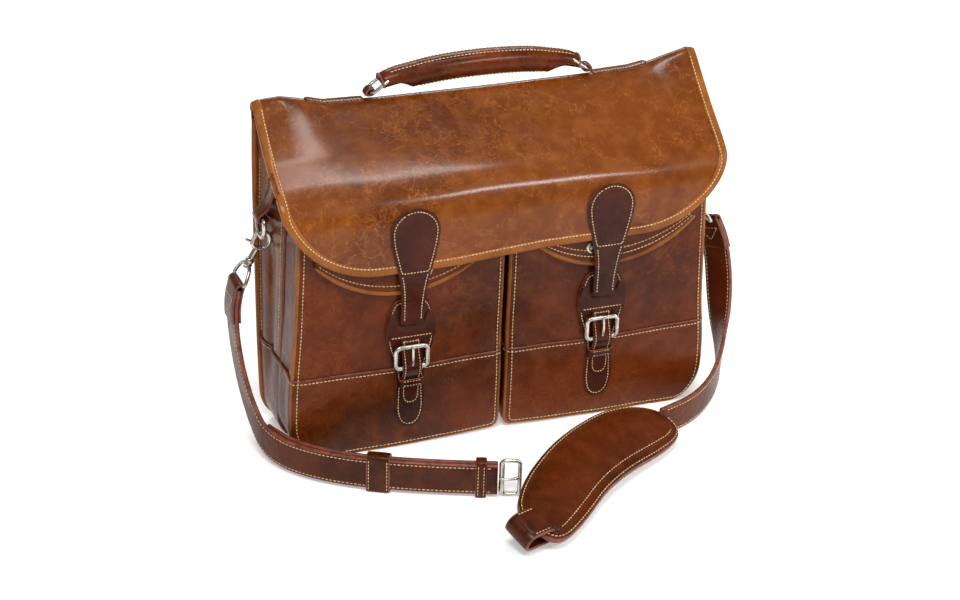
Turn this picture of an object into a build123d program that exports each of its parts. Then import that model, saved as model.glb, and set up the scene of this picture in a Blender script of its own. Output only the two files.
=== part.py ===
"""Leather briefcase: flap-over satchel with two front pockets, top handle and clip-on shoulder strap.

Millimetres. +X is the carrier's right when facing the front, the front faces -Y, +Z is up.
The origin is at the middle of the footprint, on the surface that the case stands on.
"""

from build123d import *
import math
import os

# ---- driving dimensions ------------------------------------------------------------------
FLAP_WIDTH = 430.0          # widest leather, across the flap
BODY_HALF_BASE = 209.0      # half width of the body at its base
BODY_HALF_TOP = 199.0       # half width of the body at BODY_TAPER_Z
BACK_HALF_TOP = 212.0       # the back panel keeps its width up to the ridge
BODY_TAPER_Z = 250.0
RIDGE_Z = 319.0             # top of the case, where the flap folds over
BACK_MAX_Y = 57.2           # the back panel bulges to here
TAB_FRONT_Y = -57.2         # front face of the pear tabs
PANEL = 3.0                 # back panel and flap leather
WALL = 2.5                  # gussets and pockets
FRONT_PANEL_Y = -2.0        # front face of the wall between main compartment and pockets
POCKET_FRONT_Y = -45.0
BAND_Z = 87.0               # seam of the lower leather band, all round the case
POCKET_TOP_Z = 238.0
BACK_CORNER_R = 28.0
POCKET_CORNER_R = 24.0
BINDING = 8.0               # width of the folded edge bindings
CLOSURE_X = 95.0            # the two closures stand this far from the middle
CLOSURE_PLY = 2.2           # thickness of each closure leather
STRAP_WIDTH = 31.0
STRAP_PLY = 4.0
FLOOR_GAP = 3.0             # the strap on its edge stands on its keepers, this high
HINGE_Y = 36.75             # the flap turns on this line, along the ridge, at RIDGE_Z + 0.5
HANDLE_Y = 44.0             # plane of the top handle
D_RING_Y, D_RING_Z = 29.0, 216.0    # centre of the D rings' arcs
D_RING_X = 214.0
D_WIRE = 2.2
D_ARC = 13.0

TALL = 600.0                # longer than anything here, for cutting tools


# ---- helpers -----------------------------------------------------------------------------
def side_plate(points, x_low, width):
    """A solid with this outline in Y and Z, from x_low to x_low + width."""
    outline = make_face(Polyline(*points, close=True))
    return Pos(x_low, 0, 0) * extrude(Plane.YZ * outline, amount=width)


def front_plate(sketch, y_back, thickness):
    """A solid whose outline is a sketch in X and Z, from y_back forwards by thickness."""
    return Pos(0, y_back, 0) * extrude(Plane.XZ * sketch, amount=thickness)


def thick_line(points, thickness):
    """The closed outline of a bent sheet: the points, and their mitred copy on the right."""
    normals = []
    for (y0, z0), (y1, z1) in zip(points, points[1:]):
        run = math.hypot(y1 - y0, z1 - z0)
        normals.append(((z1 - z0) / run, -(y1 - y0) / run))
    inner = []
    for i, (y, z) in enumerate(points):
        a, b = normals[max(i - 1, 0)], normals[min(i, len(normals) - 1)]
        scale = thickness / (1 + a[0] * b[0] + a[1] * b[1])
        inner.append((y + (a[0] + b[0]) * scale, z + (a[1] + b[1]) * scale))
    return points + inner[::-1]


def pair(solid):
    """A solid and its mirror image on the other side of the case."""
    return Compound(children=[solid, mirror(solid, Plane.YZ)])


def both_sides(solid):
    """The left solid as given, and the right one as its mirror image."""
    return {"left": solid, "right": mirror(solid, Plane.YZ)}


def closure_pair(solid):
    """A solid drawn about X = 0, moved to the two closures."""
    return {"left": Pos(-CLOSURE_X, 0, 0) * solid, "right": Pos(CLOSURE_X, 0, 0) * solid}


def rounded_path(points, largest=0.45):
    """Straight runs joined by tangent arcs, each as large as its two runs allow."""
    radii = []
    for a, b, c in zip(points, points[1:], points[2:]):
        before, after = Vector(*b) - Vector(*a), Vector(*c) - Vector(*b)
        half_turn = math.radians(before.get_angle(after)) / 2
        radii.append(largest * min(before.length, after.length) / math.tan(half_turn))
    return FilletPolyline(*points, radius=radii), radii


def ribbon(points, across, up):
    """A strap along a route: across is its size in plan, up its size in height."""
    path, radii = rounded_path(points)
    section = Plane(origin=path @ 0, x_dir=(0, 0, 1), z_dir=path % 0) * Rectangle(up, across)
    return sweep(section, path=path), path.length, radii


def tube(points, radius):
    """A round cord of the strap's own section area, along a route in space."""
    path, radii = rounded_path(points)
    section = Plane(origin=path @ 0, z_dir=path % 0) * Circle(radius)
    return sweep(section, path=path), path.length, radii


# ---- outlines ----------------------------------------------------------------------------
def body_outline(inset=0.0, corner=BACK_CORNER_R, top=TALL, half_top=BODY_HALF_TOP):
    """The case from the front: its sides run to half_top, and its lower corners are round."""
    slope = (BODY_HALF_BASE - half_top) / BODY_TAPER_Z
    base, crown = BODY_HALF_BASE - inset, BODY_HALF_BASE - inset - slope * top
    outline = make_face(Polyline((-base, inset), (base, inset), (crown, top), (-crown, top), close=True))
    return fillet(outline.vertices().group_by(Axis.Y)[0], corner - inset)


def pocket_outline(inset=0.0, top=POCKET_TOP_Z):
    """The left front pocket from the front: a large round outer corner, a small inner one."""
    slope = (BODY_HALF_BASE - BODY_HALF_TOP) / BODY_TAPER_Z
    outer, inner, low = -(BODY_HALF_BASE - 1 - inset), -(3 + inset), inset
    outline = make_face(
        Polyline((outer, low), (inner, low), (inner, top), (outer + slope * top, top), close=True)
    )
    corners = outline.vertices().group_by(Axis.Y)[0].sort_by(Axis.X)
    outline = fillet(corners[0], POCKET_CORNER_R - inset)
    inner_corner = outline.vertices().group_by(Axis.Y)[0].sort_by(Axis.X)[-1]
    return fillet(inner_corner, 8 - inset)


def flap_outline(inset=0.0):
    """The flap from the front: straight sides and large round lower corners."""
    half, low, top, corner = FLAP_WIDTH / 2, 190.0, 420.0, 90.0
    outline = Pos(0, (low + inset + top) / 2) * Rectangle(2 * (half - inset), top - low - inset)
    return fillet(outline.vertices().group_by(Axis.Y)[0], corner - inset)


BACK_LINE = [(52.0, 0.0), (BACK_MAX_Y, 120.0), (55.0, 262.0), (47.0, RIDGE_Z - 12)]
FLAP_LINE = [(HINGE_Y + 5, RIDGE_Z + 3.0), (-38.0, 268.0), (-50.0, 256.5), (-55.0, 242.0), (-55.0, 180.0)]


def flap_profile(thickness):
    return thick_line(FLAP_LINE, -thickness)


# ---- case body ---------------------------------------------------------------------------
def make_back():
    bent = side_plate(thick_line(BACK_LINE, -PANEL), -TALL / 2, TALL)
    whole = bent & front_plate(body_outline(half_top=BACK_HALF_TOP), TALL / 2, TALL)
    middle = bent & front_plate(body_outline(BINDING, half_top=BACK_HALF_TOP), TALL / 2, TALL)
    return middle, whole - middle


def make_walls():
    """The gusset strip: two sides and the base, between the front wall and the back panel."""
    inner_back = [(y - PANEL - 0.2, z) for y, z in BACK_LINE]
    reach = [(0.0, -1.0), inner_back[0], inner_back[1], inner_back[2], (43.5, 305.0), (36.0, 303.0), (0.0, 279.0)]
    strip = front_plate(body_outline() - body_outline(WALL, top=TALL - 1), TALL / 2, TALL)
    strip = strip & side_plate(reach, -TALL / 2, TALL)
    low = Box(TALL, TALL, BAND_Z, align=(Align.CENTER, Align.CENTER, Align.MIN))
    upper = strip - low
    left, right = upper.solids().sort_by(Axis.X)
    return strip & low, left, right


def make_front_wall():
    return front_plate(body_outline(top=252.0), 0.0, -FRONT_PANEL_Y)


def make_pocket():
    """The left pocket: front, two sides and base. It is cut at the seam of the lower band."""
    depth = FRONT_PANEL_Y - POCKET_FRONT_Y
    outer = front_plate(pocket_outline(), FRONT_PANEL_Y, depth)
    hollow = front_plate(pocket_outline(WALL, top=POCKET_TOP_Z + 10), FRONT_PANEL_Y + 1, depth + 1 - WALL)
    shell = fillet(outer.faces().sort_by(Axis.Y)[0].edges(), 3.0) - hollow
    low = Box(TALL, TALL, BAND_Z, align=(Align.CENTER, Align.CENTER, Align.MIN))
    return shell - low, shell & low


def make_base_board():
    board = Box(2 * (BODY_HALF_BASE - BACK_CORNER_R - 4), 44.0, 2.0, align=(Align.CENTER, Align.MIN, Align.MIN))
    return Pos(0, 2.5, WALL + 0.2) * board


def make_yoke():
    """The fixed strip along the ridge, on top of the back panel. It carries the handle."""
    return Pos(0, 42.0, RIDGE_Z - 6) * Box(2 * 205.0, 10.0, 12.0)


# ---- flap --------------------------------------------------------------------------------
def make_flap():
    bent = side_plate(flap_profile(PANEL + 0.5), -TALL / 2, TALL)
    behind = Pos(0, HINGE_Y - 0.15, 0) * Box(TALL, 60, 2 * TALL, align=(Align.CENTER, Align.MIN, Align.CENTER))
    bent = bent - behind
    whole = bent & front_plate(flap_outline(), TALL / 2, TALL)
    middle = bent & front_plate(flap_outline(BINDING), TALL / 2, TALL)
    return middle, whole - middle


def pear_outline():
    """The pear tab from the front, about X = 0: a round head above a narrow tongue."""
    head = Pos(0, 229) * Circle(23.5)
    neck = make_face(Polyline((-22.0, 236), (22.0, 236), (19.5, 212), (11.0, 178), (11.0, 136), (-11.0, 136),
                              (-11.0, 178), (-19.5, 212), close=True))
    return head + neck


TAB_SPLIT_Z = 189.5


def make_tab():
    """The tab's head, stitched to the flap, and its free tongue, which slants back to the pocket."""
    head_line = [(-55.02, 254.0), (TAB_FRONT_Y, 254.0), (TAB_FRONT_Y, TAB_SPLIT_Z), (-55.02, TAB_SPLIT_Z)]
    tongue_line = [(TAB_FRONT_Y, TAB_SPLIT_Z - 0.3), (-55.6, 172.0), (-52.2, 150.0), (-51.9, 136.0), (-49.7, 136.0),
                   (-50.0, 150.0), (-53.4, 172.0), (-55.0, TAB_SPLIT_Z - 0.3)]
    outline = front_plate(pear_outline(), TALL / 2, TALL)
    return side_plate(head_line, -50, 100) & outline, side_plate(tongue_line, -50, 100) & outline


# ---- pocket flaps ------------------------------------------------------------------------
POCKET_FLAP_X = 102.0
SNAP_X, SNAP_Z = 82.0, 185.0


def make_pocket_flap():
    line = thick_line([(-3.0, 256.0), (-40.0, 252.0), (-48.4, 243.0), (-48.4, 150.0)], -CLOSURE_PLY)
    low_arc = Pos(0, 276.0) * Circle(111.0)
    sides = Pos(0, 230.0) * Rectangle(166.0, 140.0)
    tip = front_plate(low_arc & sides, TALL / 2, TALL)
    return Pos(-POCKET_FLAP_X, 0, 0) * (side_plate(line, -100, 200) & tip)


def make_snap():
    """The snap: a cap on the pocket flap, and a stud on the pocket behind it."""
    cap = Pos(-SNAP_X, -48.41, SNAP_Z) * (Rot(90, 0, 0) * Cylinder(6.5, 2.0, align=(Align.CENTER,) * 2 + (Align.MIN,)))
    stud = Pos(-SNAP_X, -45.0, SNAP_Z) * (Rot(90, 0, 0) * Cylinder(5.0, 0.9, align=(Align.CENTER,) * 2 + (Align.MIN,)))
    return cap, stud


# ---- closures ----------------------------------------------------------------------------
def shield_outline():
    """The closure base from the front, about X = 0: a vase with a long round tail."""
    body = make_face(Spline((0, 158), (-15, 157), (-21, 143), (-23.5, 128), (-22, 110), (-15.5, 90), (-13, 70),
                            (-14, 45), (-10, 29), (0, 24), (10, 29), (14, 45), (13, 70), (15.5, 90), (22, 110),
                            (23.5, 128), (21, 143), (15, 157), periodic=True))
    return body


def make_bridge():
    """The overlay across the shield's widest part, with a U notch in its top edge."""
    band = Pos(0, 131.5) * Rectangle(60.0, 27.0)
    notch = fillet((Pos(0, 147) * Rectangle(26.0, 30.0)).vertices().group_by(Axis.Y)[0], 6.0)
    back = POCKET_FRONT_Y - CLOSURE_PLY
    return front_plate(band - notch, back, CLOSURE_PLY) & front_plate(shield_outline(), TALL / 2, TALL)


BAR_Z, HEEL_Z = 110.0, 90.0
FRAME_BACK_Y, FRAME_FRONT_Y = -49.7, -52.7
PIN_R = 1.45


def make_closure():
    shield = front_plate(shield_outline(), POCKET_FRONT_Y, CLOSURE_PLY)
    bridge = make_bridge()
    layer = POCKET_FRONT_Y - CLOSURE_PLY - 0.05
    line = [(layer, 117.8), (layer, 104.0), (-52.95, 94.0), (-52.95, 86.0), (layer, 76.0), (layer, 49.0)]
    strap = side_plate(thick_line(line, 2.0), -9.0, 18.0)
    point = Pos(0, 58) * Circle(9.0) + Pos(0, 98) * Rectangle(18.0, 80.0)
    strap = strap & front_plate(point, TALL / 2, TALL)
    slot = Pos(0, -50, (BAR_Z + HEEL_Z) / 2 - 1) * Box(5.6, 20, BAR_Z - HEEL_Z + 7)
    strap = strap - slot
    keeper = Pos(0, -49.9, 73.5) * (Box(24.0, 5.3, 7.0) - Box(20.0, 4.9, 8.0).moved(Pos(0, 0.4, 0)))
    return shield, bridge, strap, keeper


def make_buckle():
    """The frame of a front buckle, and its prong, which turns on the heel bar."""
    middle = (BAR_Z + HEEL_Z) / 2
    outer = fillet((Pos(0, middle) * Rectangle(35.0, 26.0)).vertices(), 7.0)
    window = fillet((Pos(0, middle) * Rectangle(27.0, 15.5)).vertices(), 3.5)
    frame = front_plate(outer - window, FRAME_BACK_Y, FRAME_BACK_Y - FRAME_FRONT_Y)
    seat_y = (FRAME_BACK_Y + FRAME_FRONT_Y) / 2
    heel_z = middle - 15.5 / 2 - 2.6
    waist = Pos(0, seat_y, heel_z) * Box(5.4, 10, 5.5)
    pin = Pos(0, seat_y, heel_z) * (Rot(0, 90, 0) * Cylinder(PIN_R - 0.05, 5.4))
    frame = (frame - waist) + pin
    eye = Rot(0, 90, 0) * (Cylinder(2.4, 4.2) - Cylinder(PIN_R, 6.0))
    rod_length, lean = 22.6, 5.5
    rod = Pos(0, 0, 2.2) * Cylinder(1.2, rod_length - 2.2, align=(Align.CENTER, Align.CENTER, Align.MIN))
    prong = Rot(lean, 0, 0) * (Pos(0, -0.9, 0) * rod) + eye
    return frame, Pos(0, seat_y, heel_z) * prong, (seat_y, heel_z)


# ---- handle ------------------------------------------------------------------------------
RING_WIRE = 3.2
RING_WIDE = 20.0
RING_LOW = (106.0, RIDGE_Z + 7.5)    # middle of the ring's lower bar, X and Z, on the right
RING_HIGH = (89.5, RIDGE_Z + 19.5)   # middle of its upper bar
GRIP_R = 12.5
GRIP_END = (80.0, RIDGE_Z + 16.0)
GRIP_MIDDLE_Z = RIDGE_Z + 24.0


def make_handle():
    """The grip, and on the right its ring, the loop in the grip's end and the tab below."""
    (x0, z0), (x1, z1) = RING_LOW, RING_HIGH
    end_x, end_z = GRIP_END
    arc = ThreePointArc((-end_x, HANDLE_Y, end_z), (0, HANDLE_Y, GRIP_MIDDLE_Z), (end_x, HANDLE_Y, end_z))
    grip = sweep(Plane(origin=arc @ 0, z_dir=arc % 0) * Circle(GRIP_R), path=arc)
    tall = math.hypot(x1 - x0, z1 - z0)
    rise = ((x1 - x0) / tall, (z1 - z0) / tall)
    face = Plane(origin=((x0 + x1) / 2, HANDLE_Y, (z0 + z1) / 2), x_dir=(0, 1, 0), z_dir=(rise[1], 0, -rise[0]))
    outer = fillet(Rectangle(RING_WIDE, tall + RING_WIRE).vertices(), 4.0)
    window = fillet(Rectangle(RING_WIDE - 2 * RING_WIRE, tall - RING_WIRE).vertices(), 2.0)
    ring = extrude(face * (outer - window), amount=RING_WIRE / 2, both=True)
    hole = RING_WIRE + 0.6
    inside = RING_WIDE - 2 * RING_WIRE - 3.0
    high_loop = face * (Pos(0, tall / 2, 0) * (Box(inside, 8.4, 8.4) - Box(TALL, hole, hole))) - grip
    low_hole = face * (Pos(0, -tall / 2, 0) * Box(TALL, hole, hole))
    low_loop = Pos(x0 + 1.5, HANDLE_Y, z0) * Box(10.0, 9.0, 6.8) - low_hole
    return grip, ring, high_loop, low_loop


def make_chape():
    """The right anchor strip of the handle, sewn along the ridge outwards from its ring."""
    return Pos(141.0, HANDLE_Y - 2.0, RIDGE_Z + 1.2) * Box(54.0, 8.0, 2.4)


# ---- side rings --------------------------------------------------------------------------
def make_d_ring():
    """The right D ring: its flat bar lies in the tab, its arc hangs below."""
    top = D_RING_Z + 7.0
    path = FilletPolyline(
        (D_RING_X, D_RING_Y - D_ARC, top), (D_RING_X, D_RING_Y - D_ARC, D_RING_Z - D_ARC),
        (D_RING_X, D_RING_Y + D_ARC, D_RING_Z - D_ARC), (D_RING_X, D_RING_Y + D_ARC, top),
        radius=D_ARC - 0.01)
    bow = sweep(Plane(origin=path @ 0, z_dir=path % 0) * Circle(D_WIRE), path=path)
    bar = Pos(D_RING_X, D_RING_Y, top) * (Rot(90, 0, 0) * Cylinder(D_WIRE, 2 * (D_ARC + D_WIRE)))
    tab = Pos(D_RING_X - 2.6, D_RING_Y, top + 4.0) * Box(10.6, 20.0, 15.0)
    tab = tab - Pos(D_RING_X, D_RING_Y, top) * (Rot(90, 0, 0) * Cylinder(D_WIRE + 0.1, 60.0))
    wall = front_plate(body_outline(), TALL / 2, TALL)
    return bow + bar, tab - wall


# ---- snap hooks --------------------------------------------------------------------------
EYE_R, HOOK_WIRE = 8.5, 2.0
EYE_Z = D_RING_Z - D_ARC - (EYE_R - HOOK_WIRE - D_WIRE - 0.3)
HOOK_LEAN = 30.0
GATE_PIVOT = (6.9, -5.6)        # X outwards and Z, about the eye's centre, before the hook leans


def lean_out(solid):
    """From the hook's own upright frame, about the eye's centre, to its place on the right."""
    return Pos(D_RING_X, D_RING_Y, EYE_Z) * (Rot(0, -HOOK_LEAN, 0) * solid)


def make_hook():
    """The right snap hook: its body, its sprung gate, and the swivel loop that holds the strap."""
    eye = Rot(90, 0, 0) * Torus(EYE_R, HOOK_WIRE)
    opening = Pos(9.0, 0, 1.2) * Box(10.0, 12.0, 13.4)
    stem = Pos(0, 0, -EYE_R - 1) * Cylinder(3.0, 11.0, align=(Align.CENTER, Align.CENTER, Align.MAX))
    neck = Pos(0, 0, -20.4) * Cylinder(1.8, 8.0, align=(Align.CENTER, Align.CENTER, Align.MAX))
    rivet = Pos(0, 0, -27.9) * Cylinder(3.0, 1.6, align=(Align.CENTER, Align.CENTER, Align.MAX))
    px, pz = GATE_PIVOT
    pin = Pos(px, 0, pz) * (Rot(90, 0, 0) * Cylinder(1.0, 4.6))
    notch = Pos(px + 1.2, 0, pz + 2.2) * Box(7.4, 2.9, 8.8)
    hook = ((eye - opening) - notch) + stem + neck + rivet + pin
    gate = Pos(px, 0, pz) * (Rot(90, 0, 0) * Cylinder(2.0, 2.6))
    gate = gate + Pos(px + 0.4, 0, pz + 7.0) * Box(2.4, 2.6, 10.4)
    gate = gate + Pos(px + 4.2, 0, pz + 1.0) * (Rot(0, 90, 0) * Cylinder(1.3, 5.0))
    gate = gate - Pos(px, 0, pz) * (Rot(90, 0, 0) * Cylinder(1.05, 8.0))
    collar = Pos(0, 0, -20.8) * Cylinder(4.2, 4.0, align=(Align.CENTER, Align.CENTER, Align.MAX))
    loop = Pos(0, 0, -35.4) * (Box(4.0, 38.0, 21.6) - Box(6.0, 32.0, 15.6))
    swivel = (collar + loop) - Pos(0, 0, -18.0) * Cylinder(1.86, 26.0)
    return lean_out(hook), lean_out(gate), lean_out(swivel)


# ---- shoulder strap ----------------------------------------------------------------------
EDGE_Z = FLOOR_GAP + STRAP_WIDTH / 2
CORD_R = math.sqrt(STRAP_WIDTH * STRAP_PLY / math.pi)
LEFT_DROP = [(-238.4, 29, 156.6), (-242.2, 28.8, 143), (-242.6, 27.5, 121), (-241.5, 24, 98), (-239.6, 17, 75),
             (-237, 6, 54), (-233.8, -7, 37), (-230.2, -22, 25)]
LEFT_RUN = [(-229.2, -25.5, EDGE_Z), (-219, -49, EDGE_Z), (-199, -74, EDGE_Z), (-171, -96, EDGE_Z),
            (-138.5, -114, EDGE_Z), (-105, -129.5, EDGE_Z), (-72, -143, EDGE_Z), (-46.5, -152.5, EDGE_Z)]
TAIL_RUN = [(-223.3, -20.3, EDGE_Z), (-214.2, -46.1, EDGE_Z), (-195, -70, EDGE_Z), (-167.9, -91.3, EDGE_Z),
            (-136, -109, EDGE_Z), (-102.8, -124.4, EDGE_Z), (-70, -137.8, EDGE_Z), (-44.5, -147.3, EDGE_Z)]
RIGHT_RISE = [(156, -97, 17), (177, -87, 16), (200, -71, 17), (222, -49, 21), (239, -24, 30), (249.5, 1, 47),
              (255, 18, 70), (256.5, 26.5, 94), (253.5, 28.7, 118), (247, 29, 140), (238.6, 29, 156.4)]
UNDER_RUN = [(-19, -170, 3.6), (-7, -178, 3.2), (-3, -191, 2.8), (-10, -204, 2.6), (-21, -214, 2.6), (-31, -222, 2.6)]
UNDER_R = 2.4                   # the hidden stretch below the pad is only a thin core


def on_edge_frame(start, end, along):
    """A place on a straight run between two route points, with X along the run."""
    a, b = Vector(*start), Vector(*end)
    run = (b - a).normalized()
    return Plane(origin=a + run * along, x_dir=run, z_dir=(0, 0, 1))


def make_keeper(length, place):
    """A leather loop round the two plies of the strap, standing on the floor."""
    tall = STRAP_WIDTH + 2 * FLOOR_GAP
    loop = Box(length, 15.6, tall) - Box(length + 2, 11.4, STRAP_WIDTH + 1.4)
    return place * (Pos(0, 2.9, 0) * loop)


def make_strap_buckle(place):
    """The strap's own buckle, on edge: a frame with a roller, and a prong."""
    tall = STRAP_WIDTH + 2 * FLOOR_GAP + 2
    frame = Box(20.0, 3.4, tall) - Box(13.0, 6.0, tall - 7.4)
    frame = frame - Pos(-8.4, 0, 0) * Box(5.6, 8, tall - 7.4)
    rod = Pos(-8.0, 0, 0) * Cylinder(1.4, tall - 6.0)
    roller = Pos(-8.0, 0, 0) * (Cylinder(2.5, tall - 8.4) - Cylinder(1.5, tall))
    lift = Pos(14.0, 2.9, 1.0)
    return place * (lift * (frame + rod)), place * (lift * roller)


PAD_TILT = 20.0
PAD_ANGLE = 36.9            # the pad's long side points this way in plan, from +X towards +Y
PAD_ORIGIN = (-22.5, -253.5, 5.8)
PAD_PLY = 8.0


def pad_frame():
    place = Pos(*PAD_ORIGIN) * Rot(0, 0, PAD_ANGLE) * Rot(PAD_TILT, 0, 0)
    return place


def pad_outline():
    """The shoulder pad flat on its back: a kidney with a hollow near side."""
    return make_face(Spline((0, 2), (-10, 10), (-12, 30), (-6, 51), (20, 64), (49, 72), (95, 78), (139, 77),
                            (176, 71), (204, 59), (224, 40), (227, 24), (221, 6), (206, 1), (176, 2), (132, 9),
                            (90, 10), (51, 4), (21, 1), periodic=True))


def make_pad():
    pad = extrude(pad_outline(), amount=PAD_PLY)
    slot = Pos(3.0, 27.0, PAD_PLY / 2) * (Rot(0, 0, -14) * Box(6.5, 33.0, 30.0))
    return pad_frame() * (pad - slot)


def make_pad_loop():
    """The strap's end: it comes out from under the pad, folds round its edge and enters the slot."""
    outside = Box(40.0, STRAP_WIDTH, 21.0, align=(Align.MIN, Align.CENTER, Align.MIN))
    inside = Pos(3.0, 0, 3.4) * Box(60.0, 60.0, 14.2, align=(Align.MIN, Align.CENTER, Align.MIN))
    fold = fillet(outside.edges().filter_by(Axis.Y).sort_by(Axis.X)[:2], 6.0) - inside
    place = pad_frame() * Pos(-29.0, 27.0, -7.0) * Rot(0, 0, -14)
    return place * fold


# ---- write every piece -------------------------------------------------------------------
nodes = {}
nodes["back_panel"], nodes["back_binding"] = make_back()
nodes["base_wrap"], nodes["gusset_left"], nodes["gusset_right"] = make_walls()
nodes["front_wall"] = make_front_wall()
nodes["base_board"] = make_base_board()
nodes["ridge_yoke"] = make_yoke()
pocket_upper, pocket_lower = make_pocket()
for side, solid in both_sides(pocket_upper).items():
    nodes["pocket_" + side] = solid
for side, solid in both_sides(pocket_lower).items():
    nodes["pocket_band_" + side] = solid

nodes["main_flap"], nodes["flap_binding"] = make_flap()
head, tongue = make_tab()
for side, solid in closure_pair(head).items():
    nodes["tab_head_" + side] = solid
for side, solid in closure_pair(tongue).items():
    nodes["tab_tongue_" + side] = solid

for side, solid in both_sides(make_pocket_flap()).items():
    nodes["pocket_flap_" + side] = solid
snap_cap, snap_stud = make_snap()
for side, solid in both_sides(snap_cap).items():
    nodes["snap_cap_" + side] = solid
nodes["snap_studs"] = pair(snap_stud)

shield, bridge, closure_strap, closure_keeper = make_closure()
frame, prong, prong_axis = make_buckle()
for side in ("left", "right"):
    nodes["closure_shield_" + side] = closure_pair(shield)[side]
    nodes["closure_bridge_" + side] = closure_pair(bridge)[side]
    nodes["closure_strap_" + side] = closure_pair(closure_strap)[side]
    nodes["buckle_frame_" + side] = closure_pair(frame)[side]
    nodes["buckle_prong_" + side] = closure_pair(prong)[side]
nodes["closure_keepers"] = Compound(children=list(closure_pair(closure_keeper).values()))

grip, ring, high_loop, low_loop = make_handle()
nodes["handle_grip"] = grip
nodes["handle_rings"] = pair(ring)
nodes["handle_end_loops"] = pair(high_loop)
nodes["handle_tabs"] = pair(low_loop)
nodes["handle_chapes"] = pair(make_chape())

d_ring, d_tab = make_d_ring()
nodes["d_rings"] = pair(d_ring)
nodes["d_ring_tabs"] = pair(d_tab)

for kind, solid in zip(("body", "gate", "swivel"), make_hook()):
    for side, placed in (("right", solid), ("left", mirror(solid, Plane.YZ))):
        nodes["hook_" + kind + "_" + side] = placed

routes = {
    "strap_left_drop": tube(LEFT_DROP, CORD_R),
    "strap_left_run": ribbon(LEFT_RUN, STRAP_PLY, STRAP_WIDTH),
    "strap_tail": ribbon(TAIL_RUN, STRAP_PLY, STRAP_WIDTH),
    "strap_right_rise": tube(RIGHT_RISE, CORD_R),
    "strap_under_pad": tube(UNDER_RUN, UNDER_R),
}
for name, (solid, length, radii) in routes.items():
    nodes[name] = solid
    print(name, "length", round(length, 1), "section", round(solid.volume / length, 1), "mm2,",
          "radii", [round(r) for r in radii])
nodes["strap_keeper_wide"] = make_keeper(22.0, on_edge_frame(LEFT_RUN[3], LEFT_RUN[4], 30.0))
nodes["strap_keeper_small"] = make_keeper(10.0, on_edge_frame(LEFT_RUN[6], LEFT_RUN[7], 13.0))
nodes["strap_buckle"], nodes["strap_buckle_roller"] = make_strap_buckle(on_edge_frame(LEFT_RUN[6], LEFT_RUN[7], 25.0))
nodes["shoulder_pad"] = make_pad()
nodes["pad_loop"] = make_pad_loop()

os.makedirs("parts", exist_ok=True)
for name, solid in nodes.items():
    export_step(solid, "parts/" + name + ".step")
print(len(nodes), "nodes; prong axis y, z:", [round(v, 2) for v in prong_axis])
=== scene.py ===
"""Looks for the leather briefcase. Millimetres in this file, metres in Blender. Front is -Y, +Z is up."""

import math

import bpy
import numpy as np
from mathutils import Matrix


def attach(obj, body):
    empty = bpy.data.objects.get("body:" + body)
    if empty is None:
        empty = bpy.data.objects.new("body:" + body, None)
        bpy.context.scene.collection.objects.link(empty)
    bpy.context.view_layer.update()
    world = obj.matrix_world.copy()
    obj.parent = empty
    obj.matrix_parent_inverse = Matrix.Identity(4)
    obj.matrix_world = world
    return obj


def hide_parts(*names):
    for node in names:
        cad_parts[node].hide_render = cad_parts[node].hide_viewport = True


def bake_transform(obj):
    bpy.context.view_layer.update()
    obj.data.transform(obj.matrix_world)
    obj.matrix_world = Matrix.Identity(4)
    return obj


MM = 0.001
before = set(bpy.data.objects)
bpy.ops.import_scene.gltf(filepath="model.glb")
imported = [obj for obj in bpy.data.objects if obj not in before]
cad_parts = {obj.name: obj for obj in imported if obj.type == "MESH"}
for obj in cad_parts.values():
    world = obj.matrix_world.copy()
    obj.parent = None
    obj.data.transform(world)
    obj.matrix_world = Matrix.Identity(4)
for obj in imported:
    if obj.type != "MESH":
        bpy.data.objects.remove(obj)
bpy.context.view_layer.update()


# ---- numbers shared with the CAD ----
SIDES = ((-1, "left"), (1, "right"))
FRONT = (0, -1, 0)
BACK = (0, 1, 0)
UP = np.array([0.0, 0.0, 1.0])
BODY_SLOPE = 10.0 / 250.0
BODY_CORNER = 28.0
RIDGE_Z = 319.0
BAND_Z = 87.0
CLOSURE_X = 95.0
SHOULDER_Y = 29.0
STRAP_WIDTH, STRAP_PLY = 31.0, 4.0
EDGE_Z = 18.5
LEFT_ROUTE = [
    (-238.4, 29, 156.6), (-242.2, 28.8, 143), (-242.6, 27.5, 121), (-241.5, 24, 98), (-239.6, 17, 75),
    (-237, 6, 54), (-233.8, -7, 37), (-229.5, -25, 22.5), (-219, -49, EDGE_Z), (-199, -74, EDGE_Z),
    (-171, -96, EDGE_Z), (-138.5, -114, EDGE_Z), (-105, -129.5, EDGE_Z), (-72, -143, EDGE_Z),
    (-46.5, -152.5, EDGE_Z)]
TAIL_ROUTE = [(-44.5, -147.3, EDGE_Z), (-70, -137.8, EDGE_Z), (-102.8, -124.4, EDGE_Z), (-136, -109, EDGE_Z),
              (-167.9, -91.3, EDGE_Z), (-195, -70, EDGE_Z), (-214.2, -46.1, EDGE_Z), (-223.3, -20.3, EDGE_Z)]
RIGHT_ROUTE = [(238.6, 29, 156.4), (247, 29, 140), (253.5, 28.7, 118), (256.5, 26.5, 94), (255, 18, 70),
               (249.5, 1, 47), (239, -24, 30), (222, -49, 21), (200, -71, 17), (177, -87, 16), (156, -97, 17),
               (138, -103, 17)]
UNDER_ROUTE = [(-24, -163, 14), (-16, -172, 9), (-7, -180, 5.6), (-3, -191, 4.6), (-10, -204, 4.2),
               (-21, -214, 4.2), (-31, -222, 4.4)]


# ---- camera and light ----
def link(thing):
    bpy.context.scene.collection.objects.link(thing)
    return thing


def frame_matrix(right, up, back, place):
    return Matrix([[right[i], up[i], back[i], place[i]] for i in range(3)] + [[0, 0, 0, 1]])


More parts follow.
